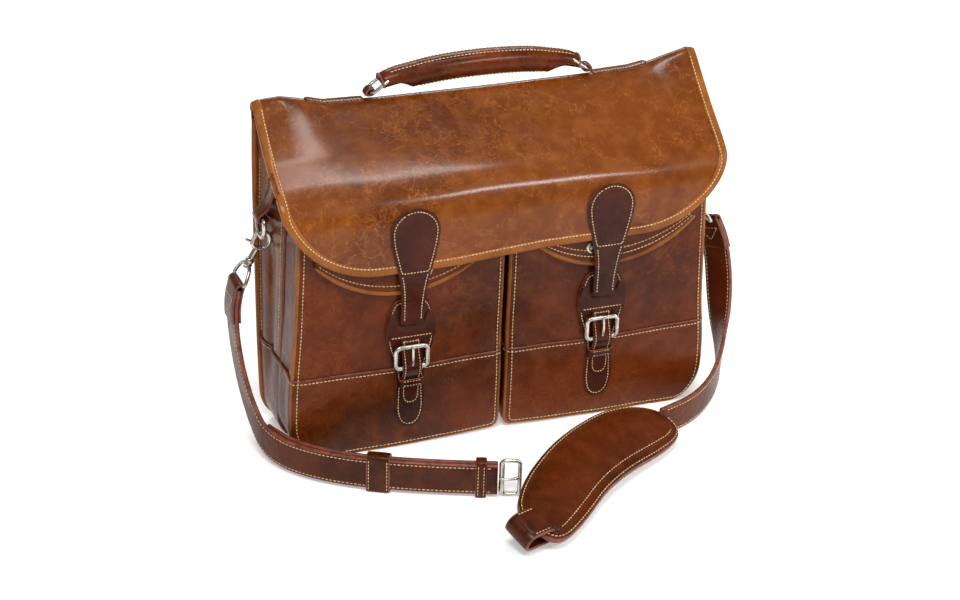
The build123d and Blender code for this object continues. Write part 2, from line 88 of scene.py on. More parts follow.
def add_camera():
    data = bpy.data.cameras.new("camera")
    data.lens, data.sensor_width = 82.5, 36.0
    camera = link(bpy.data.objects.new("camera", data))
    right, up, back = (0.93600, -0.35084, 0.02843), (0.13852, 0.44140, 0.88656), (-0.32359, -0.82588, 0.46175)
    camera.matrix_world = frame_matrix(right, up, back, (-0.68276, -1.71846, 1.08067))
    bpy.context.scene.camera = camera


def add_light(name, place, target, size, power):
    data = bpy.data.lights.new(name, "AREA")
    data.shape, data.size, data.size_y, data.energy = "RECTANGLE", size[0], size[1], power
    away = unit(np.subtract(place, target))
    side = unit(np.cross(UP, away))
    light = link(bpy.data.objects.new(name, data))
    light.matrix_world = frame_matrix(side, np.cross(away, side), away, place)


# ---- material helpers ----
def linear(srgb):
    """A colour given as 0 to 255 screen values, as the shader wants it."""
    values = [c / 255 for c in srgb]
    return [v / 12.92 if v <= 0.04045 else ((v + 0.055) / 1.055) ** 2.4 for v in values] + [1.0]


def feed(tree, socket, value):
    """Link a node's output to a socket, or set the socket's own value."""
    if isinstance(value, bpy.types.NodeSocket):
        tree.links.new(value, socket)
    else:
        socket.default_value = value


class Nodes:
    """A few short calls to build a node tree."""

    def __init__(self, name):
        self.material = bpy.data.materials.new(name)
        self.material.use_nodes = True
        self.tree = self.material.node_tree
        self.shader = self.tree.nodes["Principled BSDF"]
        self.place = self.node("TexCoord", {})["Object"]

    def node(self, kind, inputs, **settings):
        made = self.tree.nodes.new("ShaderNode" + kind)
        for name, value in settings.items():
            setattr(made, name, value)
        for name, value in inputs.items():
            feed(self.tree, made.inputs[name], value)
        return made.outputs

    def noise(self, scale, detail=3.0, rough=0.55, vector=None, output="Fac"):
        inputs = {"Scale": scale, "Detail": detail, "Roughness": rough, "Vector": vector or self.place}
        return self.node("TexNoise", inputs)[output]

    def cells(self, scale, feature, vector=None):
        inputs = {"Scale": scale, "Vector": vector or self.place}
        return self.node("TexVoronoi", inputs, feature=feature)["Distance"]

    def veins(self, scale, detail, width, vector):
        """Thin wandering lines, where a noise passes through its middle value."""
        middle = self.math("SUBTRACT", self.noise(scale, detail, 0.6, vector), 0.5)
        return self.ramp(self.math("ABSOLUTE", middle, 0.0), 0.0, width, 1.0, 0.0)

    def warped(self, scale, amount):
        """The object coordinates, pushed about by a noise."""
        push = {0: self.noise(scale, 3.0, output="Color"), 1: (amount, amount, amount), 2: self.place}
        return self.node("VectorMath", push, operation="MULTIPLY_ADD")[0]

    def ramp(self, value, low, high, to_low=0.0, to_high=1.0):
        inputs = {"Value": value, "From Min": low, "From Max": high, "To Min": to_low, "To Max": to_high}
        return self.node("MapRange", inputs, interpolation_type="SMOOTHSTEP")["Result"]

    def math(self, operation, a, b):
        return self.node("Math", {0: a, 1: b}, operation=operation)[0]

    def mix(self, factor, a, b):
        """Two colours, each a node's output or screen values."""
        a, b = (linear(c) if isinstance(c, tuple) else c for c in (a, b))
        return self.node("Mix", {"Factor": factor, 6: a, 7: b}, data_type="RGBA")[2]

    def bump(self, height, strength, distance, before=None):
        inputs = {"Strength": strength, "Distance": distance, "Height": height}
        if before is not None:
            inputs["Normal"] = before
        return self.node("Bump", inputs)["Normal"]

    def done(self, colour, rough, normal=None, metallic=0.0, coat=0.0, coat_rough=0.1, specular=0.5):
        values = {"Base Color": colour, "Roughness": rough, "Metallic": metallic, "Coat Weight": coat,
                  "Coat Roughness": coat_rough, "Specular IOR Level": specular}
        if normal is not None:
            values["Normal"] = normal
        for name, value in values.items():
            feed(self.tree, self.shader.inputs[name], value)
        return self.material


def leather(name, colour, dark, light, crease, gloss, coat, fine=1.0):
    """Glossy pull-up leather: it is lighter where it creases, with blotches and a fine pore grain."""
    n = Nodes(name)
    blotch = n.ramp(n.noise(9.0, 4.0, 0.6), 0.34, 0.62)
    mottle = n.ramp(n.noise(60.0, 6.0, 0.65), 0.38, 0.72)
    long = n.veins(17.0 * fine, 6.0, 0.0045, n.warped(6.0, 0.05))
    short = n.veins(46.0 * fine, 5.0, 0.018, n.warped(24.0, 0.03))
    net = n.ramp(n.cells(135.0 * fine, "DISTANCE_TO_EDGE", n.warped(52.0, 0.016)), 0.0, 0.06, 1.0, 0.0)
    where = n.ramp(n.noise(11.0, 3.0, 0.6), 0.44, 0.70)
    crackle = n.math("MULTIPLY", n.math("MAXIMUM", short, n.math("MULTIPLY", net, 0.3)), where)
    lines = n.math("MAXIMUM", n.math("MULTIPLY", long, 0.9), crackle)
    paint = n.mix(blotch, dark, colour)
    paint = n.mix(n.math("MULTIPLY", mottle, 0.16), paint, light)
    paint = n.mix(n.math("MULTIPLY", lines, crease), paint, light)
    normal = n.bump(n.noise(24.0, 5.0, 0.6), 0.5, 0.006)
    normal = n.bump(lines, -0.8, 0.0016, normal)
    normal = n.bump(n.cells(820.0, "F1"), 0.16, 0.0003, normal)
    rough = n.ramp(n.noise(30.0, 5.0, 0.65), 0.3, 0.7, gloss, gloss + 0.16)
    return n.done(paint, rough, normal, coat=coat, coat_rough=0.14, specular=0.1)


def plain(name, colour, dark, patches, rough, grain):
    """A dull surface: patches is a noise's scale, detail and range, and grain is a bump's."""
    n = Nodes(name)
    scale, detail, low, high = patches
    fine, depth, strength, distance = grain
    paint = n.mix(n.ramp(n.noise(scale, detail), low, high), dark, colour)
    return n.done(paint, rough, n.bump(n.noise(fine, depth), strength, distance))


def cut_edge(name, colour, dark):
    """The painted cut edge of a strap: two plies pressed together. Made near black, the same look is also the
    painted shade inside the strap holes and the pad's slot.
    """
    return plain(name, colour, dark, (140.0, 4.0, 0.35, 0.65), 0.5, (500.0, 3.0, 0.25, 0.0004))


def satin_metal(name, colour, dark, rough):
    n = Nodes(name)
    paint = n.mix(n.ramp(n.noise(90.0, 4.0), 0.4, 0.75), colour, dark)
    shine = n.ramp(n.noise(160.0, 5.0), 0.3, 0.7, rough - 0.05, rough + 0.1)
    return n.done(paint, shine, n.bump(n.noise(420.0, 3.0), 0.08, 0.0003), metallic=1.0)


TAN = leather("tan", (114, 55, 6), (84, 36, 3), (188, 114, 52), 0.42, 0.26, 0.3)
POCKET = leather("pocket_tan", (92, 34, 2), (62, 21, 1), (156, 84, 34), 0.28, 0.26, 0.12)
BAND = leather("band_brown", (96, 38, 5), (64, 23, 3), (150, 82, 36), 0.28, 0.26, 0.12)
DARK = leather("dark_brown", (62, 19, 6), (36, 10, 3), (114, 54, 30), 0.2, 0.24, 0.12, 1.4)
STRAP = leather("strap_brown", (88, 36, 12), (54, 19, 5), (132, 68, 34), 0.2, 0.26, 0.12, 1.4)
PAD = leather("pad_brown", (84, 32, 4), (56, 20, 3), (142, 74, 28), 0.25, 0.24, 0.14, 1.2)
BINDING = leather("binding_ochre", (142, 80, 24), (108, 54, 12), (188, 124, 62), 0.2, 0.32, 0.2)
EDGE = cut_edge("edge_paint", (132, 68, 48), (96, 40, 28))
# Painted shade: a near-black colour standing in for the shade inside the punched strap holes and the pad's
# slot.
HOLE_SHADE = cut_edge("painted_hole_shade", (26, 12, 8), (14, 7, 5))
THREAD = plain("cream_thread", (226, 196, 150), (190, 152, 104), (260.0, 2.0, 0.3, 0.7), 0.6,
               (1900.0, 2.0, 0.4, 0.0002))
BOARD = plain("base_board", (88, 58, 36), (60, 38, 24), (60.0, 5.0, 0.35, 0.65), 0.75,
              (700.0, 3.0, 0.3, 0.0004))
NICKEL = satin_metal("satin_nickel", (206, 200, 190), (150, 140, 126), 0.24)


# ---- lines ----
def xyz(x, y, z):
    """Points from their coordinates, any of which may be one number."""
    return np.stack(np.broadcast_arrays(x, y, z), -1)


def unit(v):
    v = np.asarray(v, float)
    return v / np.maximum(np.linalg.norm(v, axis=-1, keepdims=True), 1e-9)


def shut(line):
    """A loop with its first point again at the end."""
    return np.concatenate([line, line[:1]])


def smooth_line(points, steps=3):
    """A corner-cut copy of a line: soft, and it keeps its ends."""
    line = np.asarray(points, float)
    for _ in range(steps):
        low = line[:-1] * 0.75 + line[1:] * 0.25
        high = line[:-1] * 0.25 + line[1:] * 0.75
        line = np.concatenate([line[:1], np.stack([low, high], 1).reshape(-1, line.shape[1]), line[-1:]])
    return line


def smooth_loop(points, steps=3):
    line = np.asarray(points, float)
    for _ in range(steps):
        after = np.roll(line, -1, axis=0)
        low, high = line * 0.75 + after * 0.25, line * 0.25 + after * 0.75
        line = np.stack([low, high], 1).reshape(-1, line.shape[1])
    return line


def run_along(line):
    """The distance along a line at each of its points."""
    return np.concatenate([[0.0], np.cumsum(np.linalg.norm(np.diff(line, axis=0), axis=1))])


def spaced(line, count=None, step=None):
    """The same line with evenly spaced points."""
    line = np.asarray(line, float)
    run = run_along(line)
    if count is None:
        count = max(2, int(round(run[-1] / step)) + 1)
    where = np.linspace(0, run[-1], count)
    return np.stack([np.interp(where, run, column) for column in line.T], 1)


def tangents(line, closed=False):
    line = np.asarray(line, float)
    if closed:
        return unit(np.roll(line, -1, axis=0) - np.roll(line, 1, axis=0))
    return unit(np.gradient(line, axis=0))


def square_to(vectors, along):
    """The vectors with their part along the line taken out."""
    return unit(vectors - along * np.sum(vectors * along, axis=1, keepdims=True))


def carried_frames(line, closed, first):
    """A side and an up vector at each point, carried along so that they don't twist."""
    along = tangents(line, closed)
    up = np.array(first, float)
    if abs(np.dot(up, along[0])) > 0.9:
        up = np.array((1.0, 0.0, 0.0))
    ups = []
    for t in along:
        up = unit(up - t * np.dot(up, t))
        ups.append(up)
    return unit(np.cross(along, ups)), np.array(ups)


def rounded_rectangle(half_wide, half_tall, radius, steps=5):
    """A closed line with round corners, about the origin of its own plane."""
    loop = []
    for sx, sy, start in ((1, 1, 0), (-1, 1, 90), (-1, -1, 180), (1, -1, 270)):
        turn = np.radians(np.linspace(start, start + 90, steps))
        x = sx * (half_wide - radius) + radius * np.cos(turn)
        y = sy * (half_tall - radius) + radius * np.sin(turn)
        loop.append(np.stack([x, y], 1))
    return np.concatenate(loop)


def wave(x, z, size, seed):
    """A soft, repeatable unevenness."""
    a = np.sin(x / 37.0 + seed) * np.cos(z / 29.0 + seed * 1.7)
    b = np.sin(x / 17.0 - z / 23.0 + seed * 2.3) * 0.5
    return size * (a + b) / 1.5


# ---- meshes ----
def make_object(name, points, faces, materials, groups=None):
    """A smooth mesh from points in millimetres."""
    mesh = bpy.data.meshes.new(name)
    mesh.from_pydata((np.asarray(points, float) * MM).tolist(), [], faces)
    for material in materials:
        mesh.materials.append(material)
    if groups is not None:
        mesh.polygons.foreach_set("material_index", groups)
    mesh.polygons.foreach_set("use_smooth", [True] * len(mesh.polygons))
    mesh.update()
    return link(bpy.data.objects.new(name, mesh))


def evaluated_mesh(thing):
    graph = bpy.context.evaluated_depsgraph_get()
    return bpy.data.meshes.new_from_object(thing.evaluated_get(graph))


def apply_modifiers(thing):
    made = evaluated_mesh(thing)
    thing.modifiers.clear()
    thing.data = made
    return thing


def quads(rows, columns, closed=False):
    last = columns if closed else columns - 1
    corners = [(i, (i + 1) % columns) for i in range(last)]
    return [(j * columns + a, j * columns + b, (j + 1) * columns + b, (j + 1) * columns + a)
            for j in range(rows - 1) for a, b in corners]


def loft(name, rings, materials, closed=False, edges=()):
    """A skin over rings of points, joined round or capped. Edge columns and caps get the last material."""
    rings = np.asarray(rings)
    count, size = rings.shape[:2]
    base = (count - 1) * size
    last = len(materials) - 1
    faces = quads(count, size, closed=True)
    if closed:
        faces += [(base + i, base + (i + 1) % size, (i + 1) % size, i) for i in range(size)]
    groups = [last * (i in edges) for _ in range(count if closed else count - 1) for i in range(size)]
    if not closed:
        faces += [tuple(range(size))[::-1], tuple(range(base, base + size))]
        groups += [last, last]
    return make_object(name, rings.reshape(-1, 3), faces, materials, groups)


def sheet(name, rows, thickness, materials, outward, soften=0.45):
    """Leather from rows of points. It thickens away from outward, and its rim shows the cut edge."""
    rows = np.asarray(rows, float)
    count, width = rows.shape[:2]
    j, i = count // 2, width // 2
    normal = np.cross(rows[j, i + 1] - rows[j, i - 1], rows[j + 1, i] - rows[j - 1, i])
    if np.dot(normal, outward) < 0:
        rows = rows[:, ::-1]
    thing = make_object(name, rows.reshape(-1, 3), quads(count, width), materials)
    thick = thing.modifiers.new("thick", "SOLIDIFY")
    thick.thickness, thick.offset, thick.use_even_offset = thickness * MM, -1, False
    thick.material_offset_rim = len(materials) - 1
    round_rim = thing.modifiers.new("rim", "BEVEL")
    round_rim.width, round_rim.segments, round_rim.limit_method = soften * MM, 2, "ANGLE"
    round_rim.angle_limit = math.radians(50)
    return apply_modifiers(thing)


def tube(name, line, radius, materials, closed=False, sides=12, first=UP, flat=1.0):
    """A round or flattened bar along a line. radius is one number, or one for each point."""
    line = np.asarray(line, float)
    across, up = carried_frames(line, closed, first)
    size = np.broadcast_to(np.asarray(radius, float), (len(line),))
    turn = np.linspace(0, 2 * np.pi, sides, endpoint=False)[None, :, None]
    ring = across[:, None] * np.cos(turn) + up[:, None] * np.sin(turn) * flat
    return loft(name, line[:, None] + ring * size[:, None, None], materials, closed)


def spun(name, profile, place, axis, materials, sides=24):
    """A turned piece: profile is radius and distance along the axis."""
    axis = unit(axis)
    side = unit(np.cross(axis, (0.3, 0.2, 0.9)))
    turn = np.linspace(0, 2 * np.pi, sides, endpoint=False)[:, None]
    ring = side * np.cos(turn) + np.cross(axis, side) * np.sin(turn)
    rings = [np.asarray(place) + axis * along + ring * max(radius, 0.02) for radius, along in profile]
    return loft(name, rings, materials)


def ribbon(name, line, normals, width, thick, materials, closed=False, crown=0.35):
    """A strap along a line: its broad faces look along the normals, its cut edges show the last material."""
    line = np.asarray(line, float)
    along = tangents(line, closed)
    normals = square_to(normals, along)
    across = np.cross(along, normals)
    half, up = width / 2, thick / 2
    top = [(half * f, up + crown * (1 - f * f)) for f in (-0.9, -0.5, 0.0, 0.5, 0.9)]
    low = [(x, -y) for x, y in top[::-1]]
    right = [(half * 0.98, up * 0.7), (half, 0.0), (half * 0.98, -up * 0.7)]
    w, h = np.array(top + right + low + [(-x, -y) for x, y in right]).T[:, None, :, None]
    edges = (4, 5, 6, 7, 12, 13, 14, 15)
    return loft(name, line[:, None] + across[:, None] * w + normals[:, None] * h, materials, closed, edges)


threads = {}


def stitch_row(owner, line, out, pitch=3.7, length=2.7, radius=0.52, closed=False):
    """Stitches along a line, kept for the owner's thread mesh. out points away from the surface."""
    line = np.asarray(line, float)
    if closed:
        line = shut(line)
    outs = np.broadcast_to(np.asarray(out, float), line.shape)
    both = spaced(np.concatenate([line, outs * 1e-3], axis=1), step=pitch)
    places, outs = both[:, :3], unit(both[:, 3:])
    along = tangents(places)
    outs = square_to(outs, along)
    across = np.cross(along, outs)
    rings = [(-0.5, 0.25), (-0.36, 0.9), (0.0, 1.0), (0.36, 0.9), (0.5, 0.25)]
    turn = np.linspace(0, 2 * np.pi, 6, endpoint=False)
    points, faces = threads.setdefault(owner, ([], []))
    for p, t, o, a in zip(places[:-1] * 0.5 + places[1:] * 0.5, along, outs, across):
        base = len(points)
        points += [p + t * length * s + (a * math.cos(k) + o * math.sin(k) * 0.8) * radius * r + o * 0.12
                   for s, r in rings for k in turn]
        faces += [tuple(base + k for k in f) for f in quads(5, 6, closed=True)]


def put(thing, body, slot, *nodes):
    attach(thing, body)
    if nodes:
        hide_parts(*nodes)
    return thing


def bend(thing, slot, bodies, start, end, *nodes):
    """A piece whose CAD nodes are hidden and whose place is baked into its mesh."""
    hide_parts(*nodes)
    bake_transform(thing)


def once(side, node):
    """A CAD node with a left and a right solid is replaced by the left piece alone."""
    return (node,) if side < 0 else ()


def sew(owner, name, body, slot="strap_leather"):
    points, faces = threads.pop(owner)
    return put(make_object(name, points, faces, [THREAD]), body, slot)


# ---- case ----
def drawn_in(z, radius):
    """How far a round lower corner draws the outline in at a height."""
    return np.where(z < radius, radius - np.sqrt(np.maximum(radius ** 2 - (radius - z) ** 2, 0)), 0.0)


def body_half(z):
    z = np.asarray(z, float)
    return 209.0 - BODY_SLOPE * z - drawn_in(z, BODY_CORNER)


def back_half(z):
    """The back panel keeps its width up to the ridge."""
    return body_half(z) + 13.0 / 250.0 * np.asarray(z, float)


def arch(x, z):
    """The base stands on its corners: its middle is a little raised."""
    return 3.2 * np.exp(-(np.asarray(x, float) / 105.0) ** 2) * np.clip(1 - np.asarray(z, float) / 70.0, 0, 1)


BACK_LINE = smooth_line([
    (50.0, 0.0), (56.4, 60.0), (57.2, 130.0), (56.6, 200.0), (54.6, 262.0), (50.0, 300.0), (48.4, 312.0)])


def back_y(z):
    return np.interp(z, BACK_LINE[:, 1], BACK_LINE[:, 0])


def corner_heights(radius, top, upper=24):
    """Heights that follow a round lower corner closely, then even ones up to the top."""
    curve = radius * (1 - np.cos(np.linspace(0, math.pi / 2, 7)))
    return np.concatenate([curve, np.linspace(radius, top, upper)[1:]])


def back_point(u, z):
    x = u * back_half(z)
    puff = -1.4 * np.abs(u) ** 6 + wave(x, z, 0.5, 4.0)
    return xyz(x, back_y(z) + puff, z + arch(x, z))


def build_back():
    heights = corner_heights(BODY_CORNER, 312.0)
    across = np.linspace(-1, 1, 61)
    u, z = np.meshgrid(across, heights)
    put(sheet("back", back_point(u, z), 3.0, [TAN, EDGE], BACK), "case", "tan_leather", "back_panel")
    down, end = heights[::-1], np.ones(len(heights))
    around_u = np.concatenate([-end, across[1:-1], end])
    around_z = np.concatenate([down, np.zeros(len(across) - 2), heights])
    line = spaced(back_point(around_u, around_z), step=5.0) - np.array([0, 1.0, 0])
    put(tube("back_edge", line, 3.1, [BINDING], sides=10), "case", "binding_leather", "back_binding")
    row = back_point(around_u * 0.968, np.maximum(around_z, 6.5)) + np.array([0, 0.2, 0])
    stitch_row("case", spaced(row, step=4), BACK)


def gusset_front(z):
    return np.interp(z, [279.0, 303.0], [0.0, 34.0])


def gusset_point(side, z, t):
    """t from 0 at the front edge to 1 at the back edge."""
    x = side * (body_half(z) + (back_half(z) - body_half(z)) * 0.94 * np.clip(t, 0, 1) ** 2.2)
    front, back = gusset_front(z), back_y(z) - 2.0
    y = front + t * (back - front)
    fold = np.exp(-((t - 0.52) / 0.13) ** 2) * 4.2
    fold = fold * np.clip((z - 30) / 60, 0, 1) * np.clip((205 - z) / 30, 0, 1)
    swell = 1.6 * np.sin(np.pi * np.clip(t, 0, 1)) * np.clip(z / 60, 0, 1) * np.clip((262 - z) / 30, 0, 1)
    return xyz(x - side * (fold - swell), y, z + arch(x, z))


def build_gussets():
    for side, name in SIDES:
        t, z = np.meshgrid(np.linspace(0, 1, 25), np.linspace(BAND_Z - 4, 303.0, 56))
        piece = sheet("gusset_" + name + "_skin", gusset_point(side, z, t), 2.2, [TAN, EDGE], (side, 0, 0))
        put(piece, "case", "tan_leather", "gusset_" + name)
        for t in (0.10, 0.90):
            row = gusset_point(side, np.linspace(BAND_Z + 8, 272, 60), t) + np.array([side * 0.2, 0, 0])
            stitch_row("case", row, (side, 0, 0))
    turn = corner_heights(BODY_CORNER, BAND_Z, upper=12)
    across = np.linspace(0, 1, 13)
    left, right = ([gusset_point(s, z, across) + np.array([s * 0.8, 0, 0]) for z in turn] for s in (-1, 1))
    floor = [xyz(x, across * (back_y(0.0) - 2.0), arch(x, 0.0)) for x in np.linspace(-181, 181, 31)[1:-1]]
    wrap = sheet("base_wrap_skin", left[::-1] + floor + right, 2.2, [BAND, EDGE], (0, 0, -1))
    put(wrap, "case", "band_leather", "base_wrap")
    across = np.linspace(0.02, 0.98, 30)
    for side, name in SIDES:
        out = np.array([side, 0.0, 0.0])
        seam = tube("seam_" + name, gusset_point(side, BAND_Z, across) + out, 0.7, [EDGE], sides=8)
        put(seam, "case", "band_leather")
        stitch_row("case", gusset_point(side, BAND_Z - 3.4, across) + out, out)


def build_front_wall():
    u, z = np.meshgrid(np.linspace(-1, 1, 41), corner_heights(BODY_CORNER, 252.0))
    x = u * (body_half(z) - 0.6)
    y = -2.0 + np.clip(wave(x, z, 0.4, 2.0), -0.3, 0.0)
    wall = sheet("front_wall_skin", xyz(x, y, z + arch(x, z)), 2.0, [POCKET, EDGE], FRONT)
    put(wall, "case", "tan_leather", "front_wall")


# ---- front pockets ----
POCKET_Y = -45.0


def pocket_sides(z):
    """Outer and inner distance from the middle at this height."""
    z = np.asarray(z, float)
    outer = 208.0 - BODY_SLOPE * z + 2.4 * np.exp(-((z - 62.0) / 44.0) ** 2)
    return outer - drawn_in(z, 36.0), 3.0 + drawn_in(z, 8.0)


def pocket_relief(x, z):
    """How far the front lies behind its flat place. It never stands proud."""
    x = np.abs(x)
    calm = np.exp(-((x - CLOSURE_X) / 30.0) ** 2) * np.clip((175 - z) / 20, 0, 1)
    edge = 2.6 * np.clip((x - 150) / 55.0, 0, 1) ** 2 + 2.0 * np.clip((40 - x) / 36.0, 0, 1) ** 2
    dent = 1.6 * (1 + np.sin(x / 13.0 + z / 47.0) * np.cos(z / 31.0 + x / 60.0)) * 0.5
    low = 2.2 * np.clip((22 - z) / 22.0, 0, 1) ** 2
    hollow = 1.8 * np.exp(-((z - 104) / 26.0) ** 2) * (1 - np.exp(-((x - CLOSURE_X) / 34.0) ** 2))
    return (edge + dent + hollow) * (1 - calm) + low


def pocket_row(side, z, front_y, proud=0.0):
    """One level of a pocket, from the outer back edge round the front to the inner back edge."""
    outer, inner = (float(v) for v in pocket_sides(z))
    outer, inner = outer + proud, inner - proud * 0.4
    corner = min(6.0, max(-2.0 - front_y, 0.5) * 0.4)
    turn = np.linspace(0, math.pi / 2, 6)[1:-1]
    aside = corner * (1 - np.cos(turn))
    flat = np.linspace(outer - corner, inner + corner, 52)
    depth = np.concatenate([np.linspace(-2.0, front_y + corner, 7), front_y + corner - corner * np.sin(turn)])
    x = np.concatenate([np.full(7, outer), outer - aside, flat, inner + aside[::-1], np.full(7, inner)])
    y = np.concatenate([depth, np.full(len(flat), front_y), depth[::-1]])
    share = np.clip((-y - 24) / 18.0, 0, 1)
    y = y + share * pocket_relief(x, z) - proud * share
    x = np.where(np.abs(y) < 30, x - np.sign(x - 100) * np.sin(np.pi * np.clip(-y / 45, 0, 1)) * 1.4, x)
    return xyz(side * x, y, z + arch(x, z))


def build_pockets():
    for side, name in SIDES:
        low = [(0.3, -3.0), (0.3, -20.0), (0.3, -38.5), (1.5, -42.2), (4.4, -44.4), (9.0, POCKET_Y)]
        low += [(z, POCKET_Y) for z in np.linspace(14, BAND_Z, 16)]
        band = [pocket_row(side, z, y, 0.9) for z, y in low]
        band = sheet("pocket_band_" + name + "_skin", band, 2.2, [BAND, EDGE], FRONT)
        put(band, "case", "band_leather", "pocket_band_" + name)
        upper = [pocket_row(side, z, POCKET_Y) for z in np.linspace(BAND_Z - 4, 238.0, 40)]
        upper = sheet("pocket_" + name + "_skin", upper, 2.2, [POCKET, EDGE], FRONT)
        put(upper, "case", "tan_leather", "pocket_" + name)
        seam = pocket_row(side, BAND_Z, POCKET_Y, 1.0)
        put(tube("pocket_seam_" + name, seam, 0.75, [EDGE], sides=8), "case", "band_leather")
        stitch_row("case", pocket_row(side, BAND_Z - 3.6, POCKET_Y, 1.0)[2:-2], FRONT)
        build_piping(side, name)


def build_piping(side, name):
    """The corded front edge of a pocket, and the stitches just inside it."""
    levels = np.array([238, 215, 190, 165, 140, 115, 90, 65, 48, 36, 27, 19, 12, 6.6, 3.2, 1.4, 0.9])
    outer, inner = pocket_sides(levels)
    base = np.linspace(166, 14, 24)

    def lay(from_outer, from_inner, lowest, forward):
        x = np.concatenate([outer - from_outer, base, (inner + from_inner)[::-1]])
        z = np.maximum(np.concatenate([levels, np.zeros(len(base)), levels[::-1]]), lowest)
        x, z = smooth_line(np.stack([x, z], 1), 2).T
        return spaced(xyz(side * x, POCKET_Y + pocket_relief(x, z) + forward, z + arch(x, z)), step=4.0)

    cord = tube("piping_" + name, lay(1.2, 1.2, 0.9, 3.0), 2.1, [BINDING], sides=10)
    put(cord, "case", "binding_leather")
    stitch_row("case", lay(5.2, 4.6, 5.0, -0.9), FRONT)


# ---- main flap ----
FLAP_PROFILE = smooth_line([(50.6, 304.0), (50.4, 314.0), (48.0, 320.4), (42.0, 322.0), (36.7, 319.6),
                            (22.0, 309.2), (2.0, 295.8), (-18.0, 282.4), (-36.0, 269.8), (-48.5, 257.5),
                            (-54.6, 241.0), (-55.4, 222.0), (-55.2, 190.0)], 3)
FLAP_RUN = run_along(FLAP_PROFILE)
FLAP_CORNER = 90.0
FLAP_HALF = 215.0
FLAP_HINGE = {"bodies": ("case", "flap"), "start": (0.0, 0.0375, 0.3205), "end": (0.0, 0.0250, 0.3140)}


def flap_low(x):
    """The lower edge: straight, then large round corners, a little higher on the right."""
    lift = 6.0 * np.clip((x + 60) / 90, 0, 1)
    corner = np.clip(np.abs(x) - (FLAP_HALF - FLAP_CORNER), 0, FLAP_CORNER)
    return 190.0 + lift + FLAP_CORNER - np.sqrt(np.maximum(FLAP_CORNER ** 2 - corner ** 2, 0))


def ridge_rise(x):
    return np.interp(x, [-215, -206, -190, -172, -150, -100, 0, 100, 150, 172, 190, 206, 215],
                     [6.0, 9.0, 10.0, 6.0, 0.0, -1.5, -2.0, -1.5, 0.0, 4.0, 9.0, 13.0, 12.0])


def flap_point(u, v):
    """u from -1 to 1 across, v from 0 at the back of the ridge to 1 at the lower edge."""
    x = u * FLAP_HALF
    fall = np.clip((252.0 - flap_low(x)) / 62.0, -0.45, 1.0)
    reach = FLAP_RUN[-1] - 62.0 + 62.0 * fall
    s = v * reach
    y = np.interp(s, FLAP_RUN, FLAP_PROFILE[:, 0])
    z = np.interp(s, FLAP_RUN, FLAP_PROFILE[:, 1])
    z = z + ridge_rise(x) * np.clip(1 - (s - 22) / 60.0, 0, 1) ** 1.5
    soft = wave(x, s, 1.1, 1.0) * np.clip((s - 70) / 40, 0, 1) * np.clip((FLAP_RUN[-1] - 25 - s) / 40, 0, 1)
    sag = 1.8 * np.sin(np.pi * np.clip((s - 72) / 85.0, 0, 1)) * np.cos(x / 68.0 + 0.6)
    bow = 1.6 * np.sin(np.pi * np.clip(s / reach, 0, 1)) * u
    return xyz(x + bow, y + 0.55 * (soft + sag), z + 0.83 * (soft + sag))


def flap_normal(u, v):
    du = flap_point(np.clip(u + 0.01, -1, 1), v) - flap_point(np.clip(u - 0.01, -1, 1), v)
    dv = flap_point(u, np.clip(v + 0.01, 0, 1)) - flap_point(u, np.clip(v - 0.01, 0, 1))
    return unit(np.cross(dv, du))


def build_flap():
    across = np.sin(np.linspace(-math.pi / 2, math.pi / 2, 91))
    u, v = np.meshgrid(across, np.linspace(0, 1, 70))
    main = sheet("flap_skin", flap_point(u, v), 3.2, [TAN, EDGE], (0, -0.4, 0.9))
    bend(main, "tan_leather", *FLAP_HINGE.values(), "main_flap", "ridge_yoke")
    down, end = np.linspace(0.06, 1, 50), np.ones(50)
    edge_u = np.concatenate([-end, across[1:-1], end])
    edge_v = np.concatenate([down, np.ones(89), down[::-1]])
    normal = flap_normal(edge_u * 0.985, edge_v)
    low = np.clip((edge_v - 0.8) * 5, 0, 1)
    middle = flap_point(edge_u * (1 - 3.4 / FLAP_HALF), edge_v - 0.020 * low) - normal * 1.5
    both = spaced(np.concatenate([middle, normal * 1e-3], axis=1), step=4.0)
    binding = ribbon("flap_edge", both[:, :3], unit(both[:, 3:]), 9.0, 4.6, [BINDING, BINDING], crown=0.5)
    bend(binding, "binding_leather", *FLAP_HINGE.values(), "flap_binding")
    inner_u, inner_v = edge_u * (1 - 6.2 / FLAP_HALF), edge_v - 0.036 * low
    keep = inner_v > 0.2
    outs = flap_normal(inner_u, inner_v)[keep]
    stitch_row("flap", flap_point(inner_u, inner_v)[keep] + outs * 1.05, outs, 3.4, 2.5, 0.55)


# ---- pocket flaps ----
LID_TOP = smooth_line([(-3.0, 256.0), (-22.0, 255.0), (-39.0, 252.4), (-47.4, 247.6), (-48.4, 240.0)], 2)


def lid_point(side, u, v):
    """u from -1 to 1 across, v from 0 at the case to 1 at the lower edge."""
    x = u * 83.0
    low = 276.0 - np.sqrt(111.0 ** 2 - x ** 2)
    index = np.arange(len(LID_TOP))
    t = np.clip(v / 0.4, 0, 1) * index[-1]
    drop = np.clip((v - 0.4) / 0.6, 0, 1)
    y = np.interp(t, index, LID_TOP[:, 0]) + 0.5 * np.sin(u * 3.0) * drop
    z = np.interp(t, index, LID_TOP[:, 1]) + drop * (low - 240.0)
    return xyz(side * 102.0 + x, y, z)


